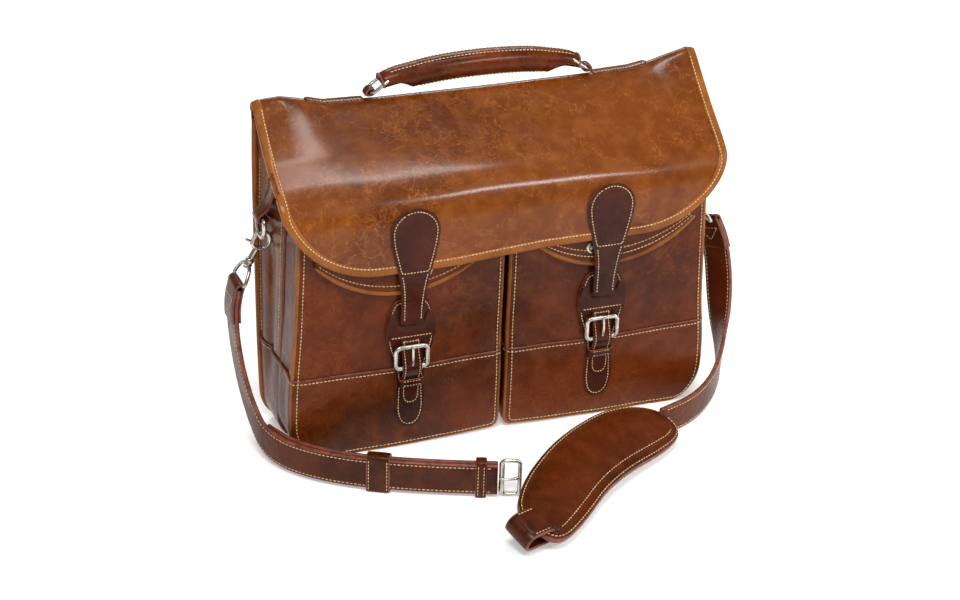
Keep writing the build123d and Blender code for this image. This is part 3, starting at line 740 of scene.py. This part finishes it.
def build_lids():
    across = np.linspace(-1, 1, 60)
    dome = [(6.5, 0.0), (6.5, 0.5), (5.9, 1.2), (4.6, 1.7), (4.2, 1.5), (2.0, 2.0), (0.0, 2.1)]
    for side, name in SIDES:
        body = "pocket_lid_" + name
        u, v = np.meshgrid(np.linspace(-1, 1, 41), np.linspace(0, 1, 34))
        piece = sheet("lid_" + name, lid_point(side, u, v), 2.1, [POCKET, EDGE], (0, -1, 0.3))
        put(piece, body, "tan_leather", "pocket_flap_" + name)
        line = lid_point(side, across, 1.0) + np.array([0, 0.9, 1.2])
        put(tube("lid_edge_" + name, line, 2.2, [BINDING], sides=10), body, "binding_leather")
        for share, v in ((0.97, 0.93), (0.95, 0.88))[:1 if side < 0 else 2]:
            stitch_row(body, lid_point(side, across * share, v) + np.array([0, -0.1, 0]), FRONT)
        cap = spun("snap_" + name, dome, (side * 82.0, -48.3, 185.0), FRONT, [NICKEL])
        put(cap, body, "nickel", "snap_cap_" + name)
        sew(body, "thread_" + body, body, "tan_leather")


# ---- closures ----
def outline_sheet(name, levels, centre_x, front, thickness, dome=0.0):
    """A flat leather shape from half widths at heights. front gives y from z."""
    u = np.sin(np.linspace(-math.pi / 2, math.pi / 2, 17))
    swell = dome * (1 - np.abs(u) ** 2.5)
    rows = [xyz(centre_x + u * max(half, 0.05), front(z) - swell, z) for z, half in levels]
    return sheet(name, rows, thickness, [DARK, EDGE], FRONT, 0.5)


def inset_loop(levels, centre_x, front, inset, dome=0.0):
    """A closed line inside the same outline."""
    loop = np.array([(-half, z) for z, half in levels] + [(half, z) for z, half in levels[::-1]])
    loop = spaced(shut(loop), step=1.5)[:-1]
    along = tangents(loop, closed=True)
    normal = np.stack([-along[:, 1], along[:, 0]], 1)
    area = np.sum(loop[:, 0] * np.roll(loop[:, 1], -1) - np.roll(loop[:, 0], -1) * loop[:, 1])
    inner = loop + normal * inset * np.sign(area)
    y = np.array([front(z) for z in inner[:, 1]]) - dome * 0.4
    return xyz(centre_x + inner[:, 0], y, inner[:, 1])


def half_width(levels, z):
    heights, halves = zip(*levels[::-1])
    return np.interp(z, heights, halves)


HEAD = [(229 + 23.5 * math.sin(a), 23.5 * math.cos(a)) for a in np.linspace(math.pi / 2, -0.2, 14)]
PEAR = HEAD + [
    (218, 22.4), (211, 20.9), (203, 19.0), (194, 16.8), (186, 14.8), (178, 13.2), (168, 12.0), (156, 11.2),
    (146, 11.0), (138, 11.0), (134, 10.6)]
SHIELD = [
    (158, 0.1), (157.8, 6), (157.2, 12), (155, 16.4), (150, 19.0), (143, 21.2), (135, 23.0), (128, 23.6),
    (119, 23.2), (110, 21.8), (100, 18.6), (90, 15.6), (80, 13.6), (70, 13.0), (57, 13.6), (46, 14.0),
    (38, 13.2), (31, 10.9), (26.6, 7.6), (24.6, 4.0), (24, 0.1)]
STRAP_TAIL = [(z, 9.0) for z in (117.5, 112, 106, 100, 96, 92, 88, 84, 80, 76, 70, 64)]
STRAP_TAIL += [(58, 8.9), (54, 7.9), (51.4, 6.0), (49.8, 3.4), (49.2, 0.1)]
PLAIN_STITCH = (3.0, 2.1)


def tab_front(z):
    return float(np.interp(z, [134, 150, 172, 189.5, 205], [-51.7, -52.3, -55.4, -57.0, -57.2]))


def shield_front(_):
    return -47.2


def strap_front(z):
    """The short strap rises over the bar of its buckle."""
    return float(np.interp(z, [49, 74, 79, 84, 88, 92, 96, 102, 106, 118],
                           [-49.4, -49.6, -51.4, -54.2, -55.2, -55.2, -54.2, -51.2, -49.9, -49.4]))


def build_closures():
    for side, name in SIDES:
        x = side * CLOSURE_X
        build_pear(name, x)
        build_shield(name, x)
        build_short_strap(side, name, x)
        build_buckle(name, x)


def build_pear(name, x):
    """The pear head on the main flap, and the tongue that lifts from it."""
    tab = "tab_" + name
    pear = outline_sheet("pear_" + name, PEAR, x, tab_front, 2.2, 1.0)
    bend(pear, "dark_leather", ("flap", tab), (x * MM, -0.056, 0.1915), (x * MM, -0.056, 0.1840),
         "tab_head_" + name, "tab_tongue_" + name)
    loop = np.roll(inset_loop(PEAR, x, tab_front, 3.0, 1.0) - np.array([0, 0.35, 0]), -8, axis=0)
    stitch_row("flap_stitch", loop[loop[:, 2] > 189], FRONT, *PLAIN_STITCH)
    z = np.linspace(187, 139, 20)
    y = np.array([tab_front(k) - 0.75 for k in z])
    for s in (-1, 1):
        stitch_row(tab, xyz(x + s * (half_width(PEAR, z) - 3.0), y, z), FRONT, *PLAIN_STITCH)
    sew(tab, "thread_" + tab, tab, "dark_leather")
    sew("flap_stitch", "thread_head_" + name, "flap", "dark_leather")


def build_shield(name, x):
    """The patch on the pocket, and the bridge that the tongue meets."""
    shield = outline_sheet("shield_" + name, SHIELD, x, shield_front, 2.2)
    put(shield, "case", "dark_leather", "closure_shield_" + name)
    stitch_row("case", inset_loop(SHIELD, x, shield_front, 2.6), FRONT, *PLAIN_STITCH, closed=True)
    columns = np.linspace(-1, 1, 47)
    dip = np.clip((18.0 - np.abs(columns * 23.3)) / 8.0, 0, 1)
    top = 145.0 - 13.0 * dip * dip * (3 - 2 * dip)
    rows = []
    for t in np.linspace(0, 1, 14):
        z = 118.0 + t * (top - 118.0)
        limit = half_width(SHIELD, z) - 0.1
        rows.append(xyz(x + np.clip(columns * 23.6, -limit, limit), -49.4 - 0.4 * np.sin(np.pi * t), z))
    bridge = sheet("bridge_" + name, rows, 2.1, [DARK, EDGE], FRONT)
    put(bridge, "case", "dark_leather", "closure_bridge_" + name)
    stitch_row("case", xyz(x + np.linspace(-19.5, 19.5, 14), -49.6, 120.6), FRONT, *PLAIN_STITCH)


def build_short_strap(side, name, x):
    strap = outline_sheet("closure_strap_" + name + "_skin", STRAP_TAIL, x, strap_front, 2.0, 0.3)
    put(strap, "case", "dark_leather", "closure_strap_" + name)
    row = inset_loop(STRAP_TAIL, x, strap_front, 2.0) - np.array([0, 0.15, 0])
    stitch_row("case", row, FRONT, 2.8, 1.9, 0.45, closed=True)
    loop = [(-11.6, -47.6), (-11.6, -51.4), (-9.0, -52.6), (0, -52.9), (9.0, -52.6), (11.6, -51.4),
            (11.6, -47.6), (8, -47.3), (-8, -47.3)]
    loop = smooth_loop(loop, 2)
    line = xyz(x + loop[:, 0], loop[:, 1], 73.5)
    outs = xyz(loop[:, 0], loop[:, 1] + 50.0, 0.0)
    keeper = ribbon("closure_keeper_" + name, line, unit(outs), 7.4, 1.3, [DARK, EDGE], closed=True)
    put(keeper, "case", "dark_leather", *once(side, "closure_keepers"))
    for z in (71.4, 75.6):
        stitch_row("case", xyz(x + np.linspace(-8.5, 8.5, 9), -53.35, z), FRONT, 2.8, 1.9, 0.42)


def build_buckle(name, x):
    """A heavy rounded frame, and the prong on its own pin."""
    loop = rounded_rectangle(15.3, 10.6, 4.5, 7)
    line = xyz(x + loop[:, 0], -51.6, 100.0 + loop[:, 1])
    rim = tube("buckle_" + name, line, 2.25, [NICKEL], closed=True, sides=14, first=BACK, flat=0.85)
    put(rim, "case", "nickel", "buckle_frame_" + name)
    side_view = [(-51.3, 89.6), (-54.2, 92.0), (-55.9, 99.0), (-55.4, 107.0), (-54.3, 112.6)]
    path = smooth_line([(x, y, z) for y, z in side_view], 2)
    sizes = np.interp(np.linspace(0, 1, len(path)), [0, 0.1, 0.8, 1.0], [1.9, 1.5, 1.25, 0.8])
    prong = tube("prong_" + name + "_pin", path, sizes, [NICKEL], sides=10)
    put(prong, "prong_" + name, "nickel", "buckle_prong_" + name)


# ---- handle ----
HANDLE_Y = 44.0
GRIP_PLACES = [0, 50, 66, 80, 90, 95]
RING_HIGH, RING_LOW = (89.5, RIDGE_Z + 19.5), (106.0, RIDGE_Z + 7.5)


def build_grip():
    x = np.linspace(-95, 95, 64)
    place = np.abs(x)
    line = xyz(x, HANDLE_Y, 342.6 - 9.0 * (place / 88) ** 2.3 - 1.2 * (x > 60) * (x - 60) / 28)
    tall = np.interp(place, GRIP_PLACES, [12.4, 12.0, 11.4, 11.8, 11.4, 10.0])
    wide = np.interp(place, GRIP_PLACES, [11.8, 11.7, 11.6, 11.4, 10.6, 10.0])
    hood = np.interp(place, [0, 68, 84, 95], [1.0, 1.0, -0.15, -0.4])
    back = np.array(BACK, float)
    up = unit(np.cross(tangents(line), back))

    def around(across, rise):
        return line + back * (across * wide)[:, None] + up * (rise * tall)[:, None]

    rings = []
    for angle in np.linspace(0, 2 * np.pi, 28, endpoint=False):
        rise = math.sin(angle) * (1 - 0.12 * math.exp(-((angle - 1.5 * np.pi) / 0.35) ** 2))
        rings.append(around(math.cos(angle), rise * hood if rise < 0 else rise))
    points = np.stack(rings, 1)
    grip = loft("grip", points, [POCKET, EDGE])
    put(grip, "handle", "strap_leather", "handle_grip")
    for angle, first in ((1.1, 3), (-0.95, 11), (math.pi - 1.1, 3), (math.pi + 0.95, 11)):
        row = around(math.cos(angle), math.sin(angle))[first:-first]
        outs = unit(row - line[first:-first])
        stitch_row("handle", row + outs * 0.2, outs, 3.6, 2.6)
    for end in (0, -1):
        rim = tube("grip_rim_%d" % (end + 2), points[end], 1.2, [EDGE], closed=True, sides=8, first=(1, 0, 0))
        put(rim, "handle", "strap_leather")


def handle_loop(name, side, middle, offsets, core, width, node):
    """A leather loop round one bar of a handle ring, in the plane of the handle."""
    path = smooth_loop([(side * (middle[0] + a), HANDLE_Y, middle[1] + b) for a, b in offsets], 2)
    outs = unit(path - np.array([side * core[0], HANDLE_Y, core[1]]))
    piece = ribbon(name, path, outs, width, 2.0, [STRAP, EDGE], closed=True)
    put(piece, "handle", "strap_leather", *once(side, node))


def build_handle():
    build_grip()
    eye = ((3.6, 0), (2.4, 3.2), (-2, 4.0), (-6, 2.6), (-6, -2.6), (-2, -4.0), (2.4, -3.2))
    tab = ((-3.4, 0), (-2.2, 3.2), (2, 3.4), (4.6, -0.2), (4.8, -2.2), (1.5, -2.9), (-2.2, -2.5))
    low, high = np.array(RING_LOW), np.array(RING_HIGH)
    middle, slope = (high + low) / 2, unit(high - low)
    a, b = rounded_rectangle(8.4, 10.2, 3.4).T
    for side, name in SIDES:
        path = xyz(side * (middle[0] + slope[0] * b), HANDLE_Y + a, middle[1] + slope[1] * b)
        ring = tube("handle_ring_" + name, path, 1.7, [NICKEL], closed=True)
        put(ring, "handle", "nickel", *once(side, "handle_rings"))
        handle_loop("handle_loop_" + name, side, high, eye, high, 10.4, "handle_end_loops")
        handle_loop("handle_tab_" + name, side, low, tab, (107.5, RIDGE_Z + 6.9), 9.4, "handle_tabs")
        x = np.linspace(113, 168, 30)[:, None]
        top = RIDGE_Z + 3.6 + ridge_rise(side * x)
        u = np.linspace(-1, 1, 9)[None]
        half = np.minimum(5.2, np.sqrt(np.maximum(27.0 - np.clip(x - 162.8, 0, 5.2) ** 2, 0.01)))
        rows = xyz(side * x, HANDLE_Y - 0.5 + u * half, top - 0.5 * u * u)
        chape = sheet("chape_" + name, rows, 2.2, [STRAP, EDGE], UP)
        put(chape, "case", "strap_leather", *once(side, "handle_chapes"))
        for s in (-3.4, 3.4):
            row = xyz(side * x[2:-2, 0], HANDLE_Y - 0.5 + s, top[2:-2, 0] + 0.1)
            stitch_row("case", row, UP, 3.2, 2.3, 0.45)
    sew("handle", "thread_handle", "handle")


# ---- side rings and snap hooks ----
RING_X = 214.0


def lean(side, points):
    """From a hook's upright frame to its place."""
    x, y, z = np.asarray(points, float).T
    cos, sin = math.cos(math.radians(30.0)), math.sin(math.radians(30.0))
    return xyz(side * (RING_X + x * cos - z * sin), SHOULDER_Y + y, 199.0 + x * sin + z * cos)


def build_rings():
    turn = np.linspace(-1.57, 1.57, 25)
    arc = np.stack([SHOULDER_Y + 13 * np.sin(turn), 216 - 13 * np.cos(turn)], 1)
    top = SHOULDER_Y + np.array([(13.0, 192.0), (12.2, 193.6), (-12.2, 193.6), (-13.0, 192.0)])
    loop = np.concatenate([arc, top])
    half = float(body_half(240.0)) + 3.0
    bend_line = [(half + 0.6, 262.0), (half + 1.4, 246.0), (half + 5, 234.0), (213.0, 228.6), (218.2, 225.4),
                 (218.4, 220.0), (213.0, 218.8), (207.4, 219.8)]
    for side, name in SIDES:
        ring = tube("d_ring_" + name, xyz(side * RING_X, loop[:, 0], loop[:, 1]), 2.2, [NICKEL], closed=True)
        put(ring, "case", "nickel", *once(side, "d_rings"))
        path = smooth_line([(side * x, SHOULDER_Y, z) for x, z in bend_line], 2)
        outs = np.cross(tangents(path), (0, -side, 0))
        tab = ribbon("d_tab_" + name, path, outs, 19.0, 2.2, [TAN, EDGE])
        put(tab, "case", "tan_leather", *once(side, "d_ring_tabs"))
        for s in (-7.0, 7.0):
            row = spaced(path, count=30)[2:10] + np.array([side * 1.4, s, 0.6])
            stitch_row("case", row, (side, 0, 0.3), 3.2, 2.3, 0.45)


def build_hooks():
    half = [(-8.5, -25.5), (-16.0, -36.0), (-17.4, -44.8)]
    loop = smooth_loop([(0, y, z) for y, z in half + [(-y, z) for y, z in half[::-1]]])
    profile = [(2.0, 0.0), (3.4, 0.2), (4.2, 1.2), (4.3, 3.0), (3.6, 4.6), (4.4, 5.6), (4.2, 7.4), (2.6, 8.6),
               (0, 8.9)]
    for side, name in SIDES:
        bail = tube("bail_" + name, lean(side, loop), 1.75, [NICKEL], closed=True)
        put(bail, "shoulder_strap", "nickel", "hook_swivel_" + name)
        place, below = lean(side, [(0, 0, -19.6), (0, 0, -21.0)])
        put(spun("collar_" + name, profile, place, below - place, [NICKEL]), "shoulder_strap", "nickel")


# ---- shoulder strap ----
def carry(thing, slot, *nodes):
    return put(thing, "shoulder_strap", slot, *nodes)


def route_points(name, points):
    """Closely spaced points on the smooth line of a cord's route, in millimetres."""
    curve = bpy.data.curves.new(name, "CURVE")
    curve.dimensions, curve.resolution_u = "3D", 14
    spline = curve.splines.new("NURBS")
    spline.points.add(len(points) - 1)
    for point, place in zip(spline.points, points):
        point.co = (place[0] * MM, place[1] * MM, place[2] * MM, 1.0)
    spline.order_u = 3
    spline.use_endpoint_u = True
    holder = link(bpy.data.objects.new(name, curve))
    mesh = evaluated_mesh(holder)
    line = np.array([v.co for v in mesh.vertices], float) / MM
    bpy.data.objects.remove(holder)
    bpy.data.meshes.remove(mesh)
    return spaced(line, step=3.0)


def face_directions(line, upright):
    """Which way a strap's broad face looks: level on the floor, and towards upright where it climbs."""
    x, y, _ = tangents(line).T
    share = ((x ** 2 + y ** 2) ** 1.5)[:, None]
    return unit(unit(xyz(-y, x, 0.0)) * share + np.asarray(upright, float) * (1 - share))


def strap_rows(owner, line, normals):
    """The two stitch rows on each face."""
    across = unit(np.cross(tangents(line), normals))
    for s in (-1, 1):
        for face in (1, -1):
            row = line + across * s * (STRAP_WIDTH / 2 - 3.2) + normals * face * (STRAP_PLY / 2 + 0.15)
            stitch_row(owner, row[2:-2], normals[2:-2] * face, 3.9, 2.8, 0.5)


def build_strap(name, route, upright, nodes, extra):
    line = route_points(name + "_route", route)
    normals = face_directions(line, upright)
    strap = carry(ribbon(name, line, normals, STRAP_WIDTH, STRAP_PLY, [STRAP, EDGE]), "strap_leather", *nodes)
    strap_rows(name, line, normals)
    pieces = [sew(name, name + "_thread", "shoulder_strap")] + extra(line, normals)


def strap_fold(name, line, normals):
    """The strap's end, folded round the hook's wire loop and sewn back on itself."""
    along = tangents(line)
    lift, turned = 3.3, 12
    start, forward, n = line[0], -along[0], normals[0]
    crown = ((2.0, 3.6), (4.4, 3.0), (5.8, 0.0), (4.4, -3.0), (2.0, -3.6))
    crown = [start + forward * a + n * b for a, b in crown]
    outer, inner = (line[:turned] + normals[:turned] * s for s in (lift, -lift))
    path = smooth_line(np.concatenate([outer[::-1], crown, inner]), 1)
    outs = []
    for p in path:
        k = int(np.argmin(np.linalg.norm(line - p, axis=1)))
        beyond = max(np.dot(p - start + forward, forward), 0.0)
        outs.append(unit(normals[k] * np.dot(p - line[k], normals[k]) + forward * beyond * 1.2))
    fold = carry(ribbon(name, path, np.array(outs), STRAP_WIDTH - 0.6, 2.0, [STRAP, EDGE]), "strap_leather")
    across = unit(np.cross(along, normals))
    for face in (1, -1):
        lift = normals[0] * face * 4.45
        span = np.linspace(-11, 11, 12)[:, None]
        stitch_row(name, line[3] + lift + across[3] * span, normals[3] * face, 3.4, 2.5)
        for s in (-1, 1):
            row = [line[3] + lift + across[3] * s * 11, line[8] + normals[8] * face * 4.45]
            stitch_row(name, spaced(row, count=12), normals[5] * face, 3.4, 2.5)
    return [fold, sew(name, name + "_thread", "shoulder_strap")]


def station(line, normals, target):
    """The strap's place, direction and face nearest to a place on the floor."""
    k = int(np.argmin(np.linalg.norm(line[:, :2] - np.array(target), axis=1)))
    return line[k], tangents(line)[k], normals[k]


def strap_keeper(name, line, normals, target, length, row_at, material):
    place, along, face = station(line, normals, target)
    inward = face if np.dot(face, (0.484, 0.875, 0)) > 0 else -face
    middle = place + inward * 2.6
    corner = [(-5.6, 16.4), (-3.4, 18.2), (3.4, 18.2), (5.6, 16.4)]
    loop = smooth_loop([(-5.6, -16.4)] + corner + [(a, -b) for a, b in corner[:0:-1]], 2)
    path = middle + inward * loop[:, :1] + UP * loop[:, 1:]
    outs = unit(path - middle - UP * np.clip((path - middle) @ UP, -14, 14)[:, None])
    keeper = ribbon("keeper_" + name, path, outs, length, 2.0, [material, EDGE], closed=True)
    carry(keeper, "strap_leather", "strap_keeper_" + name)
    for s in (-row_at, row_at):
        row = [middle - inward * 6.9 + along * s + UP * b for b in (-15.5, 15.5)]
        stitch_row("keeper", spaced(row, count=12), -inward, 3.3, 2.4, 0.45)
    return [keeper, sew("keeper", "keeper_" + name + "_thread", "shoulder_strap")]


def strap_buckle():
    """The roller buckle on edge, past the strap's end."""
    a, b = (np.array(place[:2]) for place in LEFT_ROUTE[-2:])
    run = np.append(unit(b - a), 0.0)
    inward = np.array([-run[1], run[0], 0.0])
    middle = np.append(a, EDGE_Z) + run * 39.0 + inward * 2.9 + np.array([0, 0, 0.8])
    path = [middle + run * p + UP * q for p, q in rounded_rectangle(8.2, 17.6, 3.6)]
    rim = tube("strap_buckle_frame", path, 1.9, [NICKEL], closed=True, first=inward)
    carry(rim, "nickel", "strap_buckle")
    profile = [(1.4, -15.4), (2.4, -15.2), (2.6, -14.6), (2.6, 14.6), (2.4, 15.2), (1.4, 15.4)]
    roller = spun("strap_roller", profile, middle - run * 8.0, UP, [NICKEL])
    carry(roller, "nickel", "strap_buckle_roller")
    pin = [middle + run * p - inward * q for p, q in ((8.4, 0.0), (2, 3.4), (-5, 4.0), (-10.2, 2.8))]
    pin = smooth_line(pin, 2)
    prong = carry(tube("strap_prong", pin, np.linspace(1.6, 1.0, len(pin)), [NICKEL], sides=10), "nickel")
    return [rim, roller, prong]


def strap_holes(line, normals):
    pieces = []
    profile = [(2.6, 0.0), (2.5, 0.35), (1.9, 0.4), (1.8, -0.4), (0.0, -0.5)]
    for k, target in enumerate(((-122, -121.5), (-107, -128), (-92, -134.5), (-78, -140.5))):
        place, _, face = station(line, normals, target)
        outward = face if face[1] < 0 else -face
        place = place + outward * (STRAP_PLY / 2 + 0.25)
        # Each hole is a dark disk of painted shade on the strap's face, where the punched hole is in shade.
        hole = spun("strap_hole_%d" % k, profile, place, outward, [HOLE_SHADE], 16)
        pieces.append(carry(hole, "strap_leather"))
    return pieces


def build_straps():
    def left_extra(line, normals):
        return (strap_fold("strap_fold_left", line, normals)
                + strap_keeper("wide", line, normals, (-144.8, -110.5), 22.0, 8.4, PAD)
                + strap_keeper("small", line, normals, (-59.8, -147.5), 10.0, 2.6, STRAP)
                + strap_buckle() + strap_holes(line, normals))

    def right_extra(line, normals):
        return strap_fold("strap_fold_right", line, normals)

    nodes = ("strap_left_drop", "strap_left_run")
    build_strap("strap_left", LEFT_ROUTE, (1, 0, 0), nodes, left_extra)
    build_strap("strap_inner", TAIL_ROUTE, (1, 0, 0), ("strap_tail",), lambda line, normals: [])
    build_strap("strap_right", RIGHT_ROUTE, (0.87, 0.5, 0), ("strap_right_rise",), right_extra)
    line = route_points("under_route", UNDER_ROUTE)
    share = np.clip(np.linspace(0, 2.2, len(line)), 0, 1)[:, None]
    normals = unit(face_directions(line, (1, 0, 0)) * (1 - share) + UP * share)
    carry(ribbon("strap_hidden", line, normals, 24.0, 3.0, [STRAP, EDGE]), "strap_leather", "strap_under_pad")


# ---- shoulder pad ----
PAD_OUTLINE = [(0, 2), (-10, 10), (-12, 30), (-6, 51), (20, 64), (49, 72), (95, 78), (139, 77), (176, 71),
               (204, 59), (224, 40), (227, 24), (221, 6), (206, 1), (176, 2), (132, 9), (90, 10), (51, 4),
               (21, 1)]
PAD_SPINE = [(10, 32), (30, 35), (60, 38), (95, 43), (135, 43), (170, 38), (195, 32), (205, 29)]


def pad_place(points, height=0.0):
    """From the pad's own plane, and a height over it, to its place leaning on the floor."""
    u, v = np.asarray(points, float).T[:2]
    cos_tilt, sin_tilt = math.cos(math.radians(20.0)), math.sin(math.radians(20.0))
    cos_turn, sin_turn = math.cos(math.radians(36.9)), math.sin(math.radians(36.9))
    y, z = v * cos_tilt - height * sin_tilt, v * sin_tilt + height * cos_tilt
    return xyz(u * cos_turn - y * sin_turn - 22.5, u * sin_turn + y * cos_turn - 253.5, z + 5.8)


def pad_direction(x, y, height):
    return pad_place([(x, y)], height)[0] - pad_place([(0, 0)])[0]


def pad_inset(loop, spine, share):
    nearest = spine[np.argmin(np.linalg.norm(loop[:, None] - spine[None], axis=2), axis=1)]
    return loop * (1 - share) + nearest * share


def build_pad():
    loop = spaced(shut(smooth_loop(PAD_OUTLINE)), count=181)[:-1]
    spine = spaced(smooth_line(PAD_SPINE), count=120)
    levels = [(0.0, 5.2), (0.02, 6.8), (0.05, 7.6), (0.10, 8.0), (0.17, 7.7), (0.20, 7.4), (0.23, 7.8),
              (0.32, 8.8), (0.45, 9.6), (0.6, 10.1), (0.78, 10.4), (0.92, 10.5), (1.0, 10.5)]
    middle = len(levels)
    under = [2.8, 1.2, 0.5, 0.1] + [0.0] * (middle - 4)
    levels = [(share, low) for (share, _), low in zip(levels, under)][::-1] + levels
    rings = []
    for share, height in levels:
        ring = pad_inset(loop, spine, share)
        ripple = wave(ring[:, 0] * 1.5, ring[:, 1] * 2, 0.35, 3.0) if height > 6 else 0.0
        rings.append(pad_place(ring, height + ripple))
    size = len(loop)
    groups = [int(middle - 2 <= j <= middle) for j in range(len(levels) - 1) for _ in range(size)]
    faces = quads(len(levels), size, closed=True)
    pad = make_object("pad", np.concatenate(rings), faces, [PAD, EDGE], groups)
    pad.modifiers.new("weld", "WELD").merge_threshold = 0.0004
    carry(apply_modifiers(pad), "strap_leather", "shoulder_pad")
    up = pad_direction(0, 0, 1)
    stitch_row("pad", pad_place(pad_inset(loop, spine, 0.09), 8.15), up, 3.8, 2.7, closed=True)
    near = pad_inset(loop, spine, 0.34)
    near = near[(near[:, 1] < 36) & (near[:, 0] > 8) & (near[:, 0] < 212)]
    stitch_row("pad", pad_place(near[np.argsort(near[:, 0])], 9.15), up, 3.8, 2.7)
    sew("pad", "pad_thread", "shoulder_strap")
    build_pad_loop(up)


def build_pad_loop(up):
    """The loop at the pad's end, through a slot in the pad."""
    angle = math.radians(-14.0)
    along = np.array([math.cos(angle), math.sin(angle)])
    across = np.array([-along[1], along[0]])
    middle = np.array([3.0, 27.0])
    profile = smooth_line([(14, -4.2), (0, -4.6), (-22, -4.8), (-29.5, -3.8), (-31.6, 1.5), (-31.0, 7.5),
                           (-26.0, 12.0), (-14, 12.2), (-5, 11.6), (0, 8.4), (1.5, 5.0)], 2)
    path = pad_place(middle + along * profile[:, :1], profile[:, 1])
    outs = np.cross(pad_direction(*across, 0), tangents(path))
    outs = outs * np.sign(np.sum(outs * (path - path.mean(0))))
    carry(ribbon("pad_loop_strap", path, outs, 30.0, 2.6, [STRAP, EDGE]), "strap_leather", "pad_loop")
    # The slot is a flattened dark tube of painted shade along the gap in the pad.
    slot = pad_place(middle + across * np.linspace(-16, 16, 12)[:, None] + along * 3.0, 9.0)
    carry(tube("pad_slot", slot, 1.6, [HOLE_SHADE], sides=10, flat=0.5), "strap_leather")
    for s in (-12.2, 12.2):
        row = pad_place(middle + along * np.linspace(-25, -7, 10)[:, None] + across * s, 13.8)
        stitch_row("pad_loop", row, up, 3.4, 2.4, 0.48)
    sew("pad_loop", "pad_loop_thread", "shoulder_strap")


# ---- build everything ----
add_camera()
build_straps()
build_back()
build_gussets()
build_front_wall()
build_pockets()
build_flap()
build_lids()
build_closures()
build_handle()
build_rings()
build_hooks()
build_pad()
sew("case", "thread_case", "case", "tan_leather")
sew("flap", "thread_flap", "flap", "tan_leather")

# The CAD nodes that are kept as they are get the right materials.
metal_nodes = ("hook_body_left", "hook_body_right", "hook_gate_left", "hook_gate_right", "snap_studs")
carried = {**dict.fromkeys(metal_nodes, NICKEL), "base_board": BOARD}
for node, material in carried.items():
    for slot_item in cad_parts[node].material_slots:
        slot_item.material = material


# ---- studio ----
def build_studio():
    size = 6000.0
    corners = [(-size, -size, -0.3), (size, -size, -0.3), (size, size, -0.3), (-size, size, -0.3)]
    n = Nodes("floor_white")
    tone = n.mix(n.ramp(n.noise(2.0, 2.0), 0.3, 0.7), (248, 248, 248), (252, 252, 252))
    n.shader.inputs["Emission Color"].default_value = (1.0, 1.0, 1.0, 1.0)
    n.shader.inputs["Emission Strength"].default_value = 0.35
    make_object("floor", corners, [(0, 1, 2, 3)], [n.done(tone, 0.7)])
    world = bpy.data.worlds.new("studio")
    world.use_nodes = True
    sky = world.node_tree.nodes["Background"]
    sky.inputs["Color"].default_value = (1.0, 1.0, 1.0, 1.0)
    sky.inputs["Strength"].default_value = 0.28
    bpy.context.scene.world = world
    bpy.context.scene.view_settings.view_transform = "Standard"
    add_light("key", (-0.5, -1.0, 1.9), (0, 0, 0.2), (0.8, 0.45), 23.5)
    add_light("strip", (1.5, -0.9, 0.9), (0.05, 0, 0.2), (0.2, 1.2), 9.5)
    add_light("glint_low", (0.55, -1.15, 1.15), (0.0, -0.04, 0.25), (0.3, 0.16), 6.0)
    add_light("glint_high", (0.25, -0.2, 1.5), (-0.15, 0.0, 0.3), (0.1, 0.35), 2.6)
    add_light("back", (0.5, 1.5, 1.5), (0, 0, 0.25), (1.2, 0.3), 16.0)


build_studio()
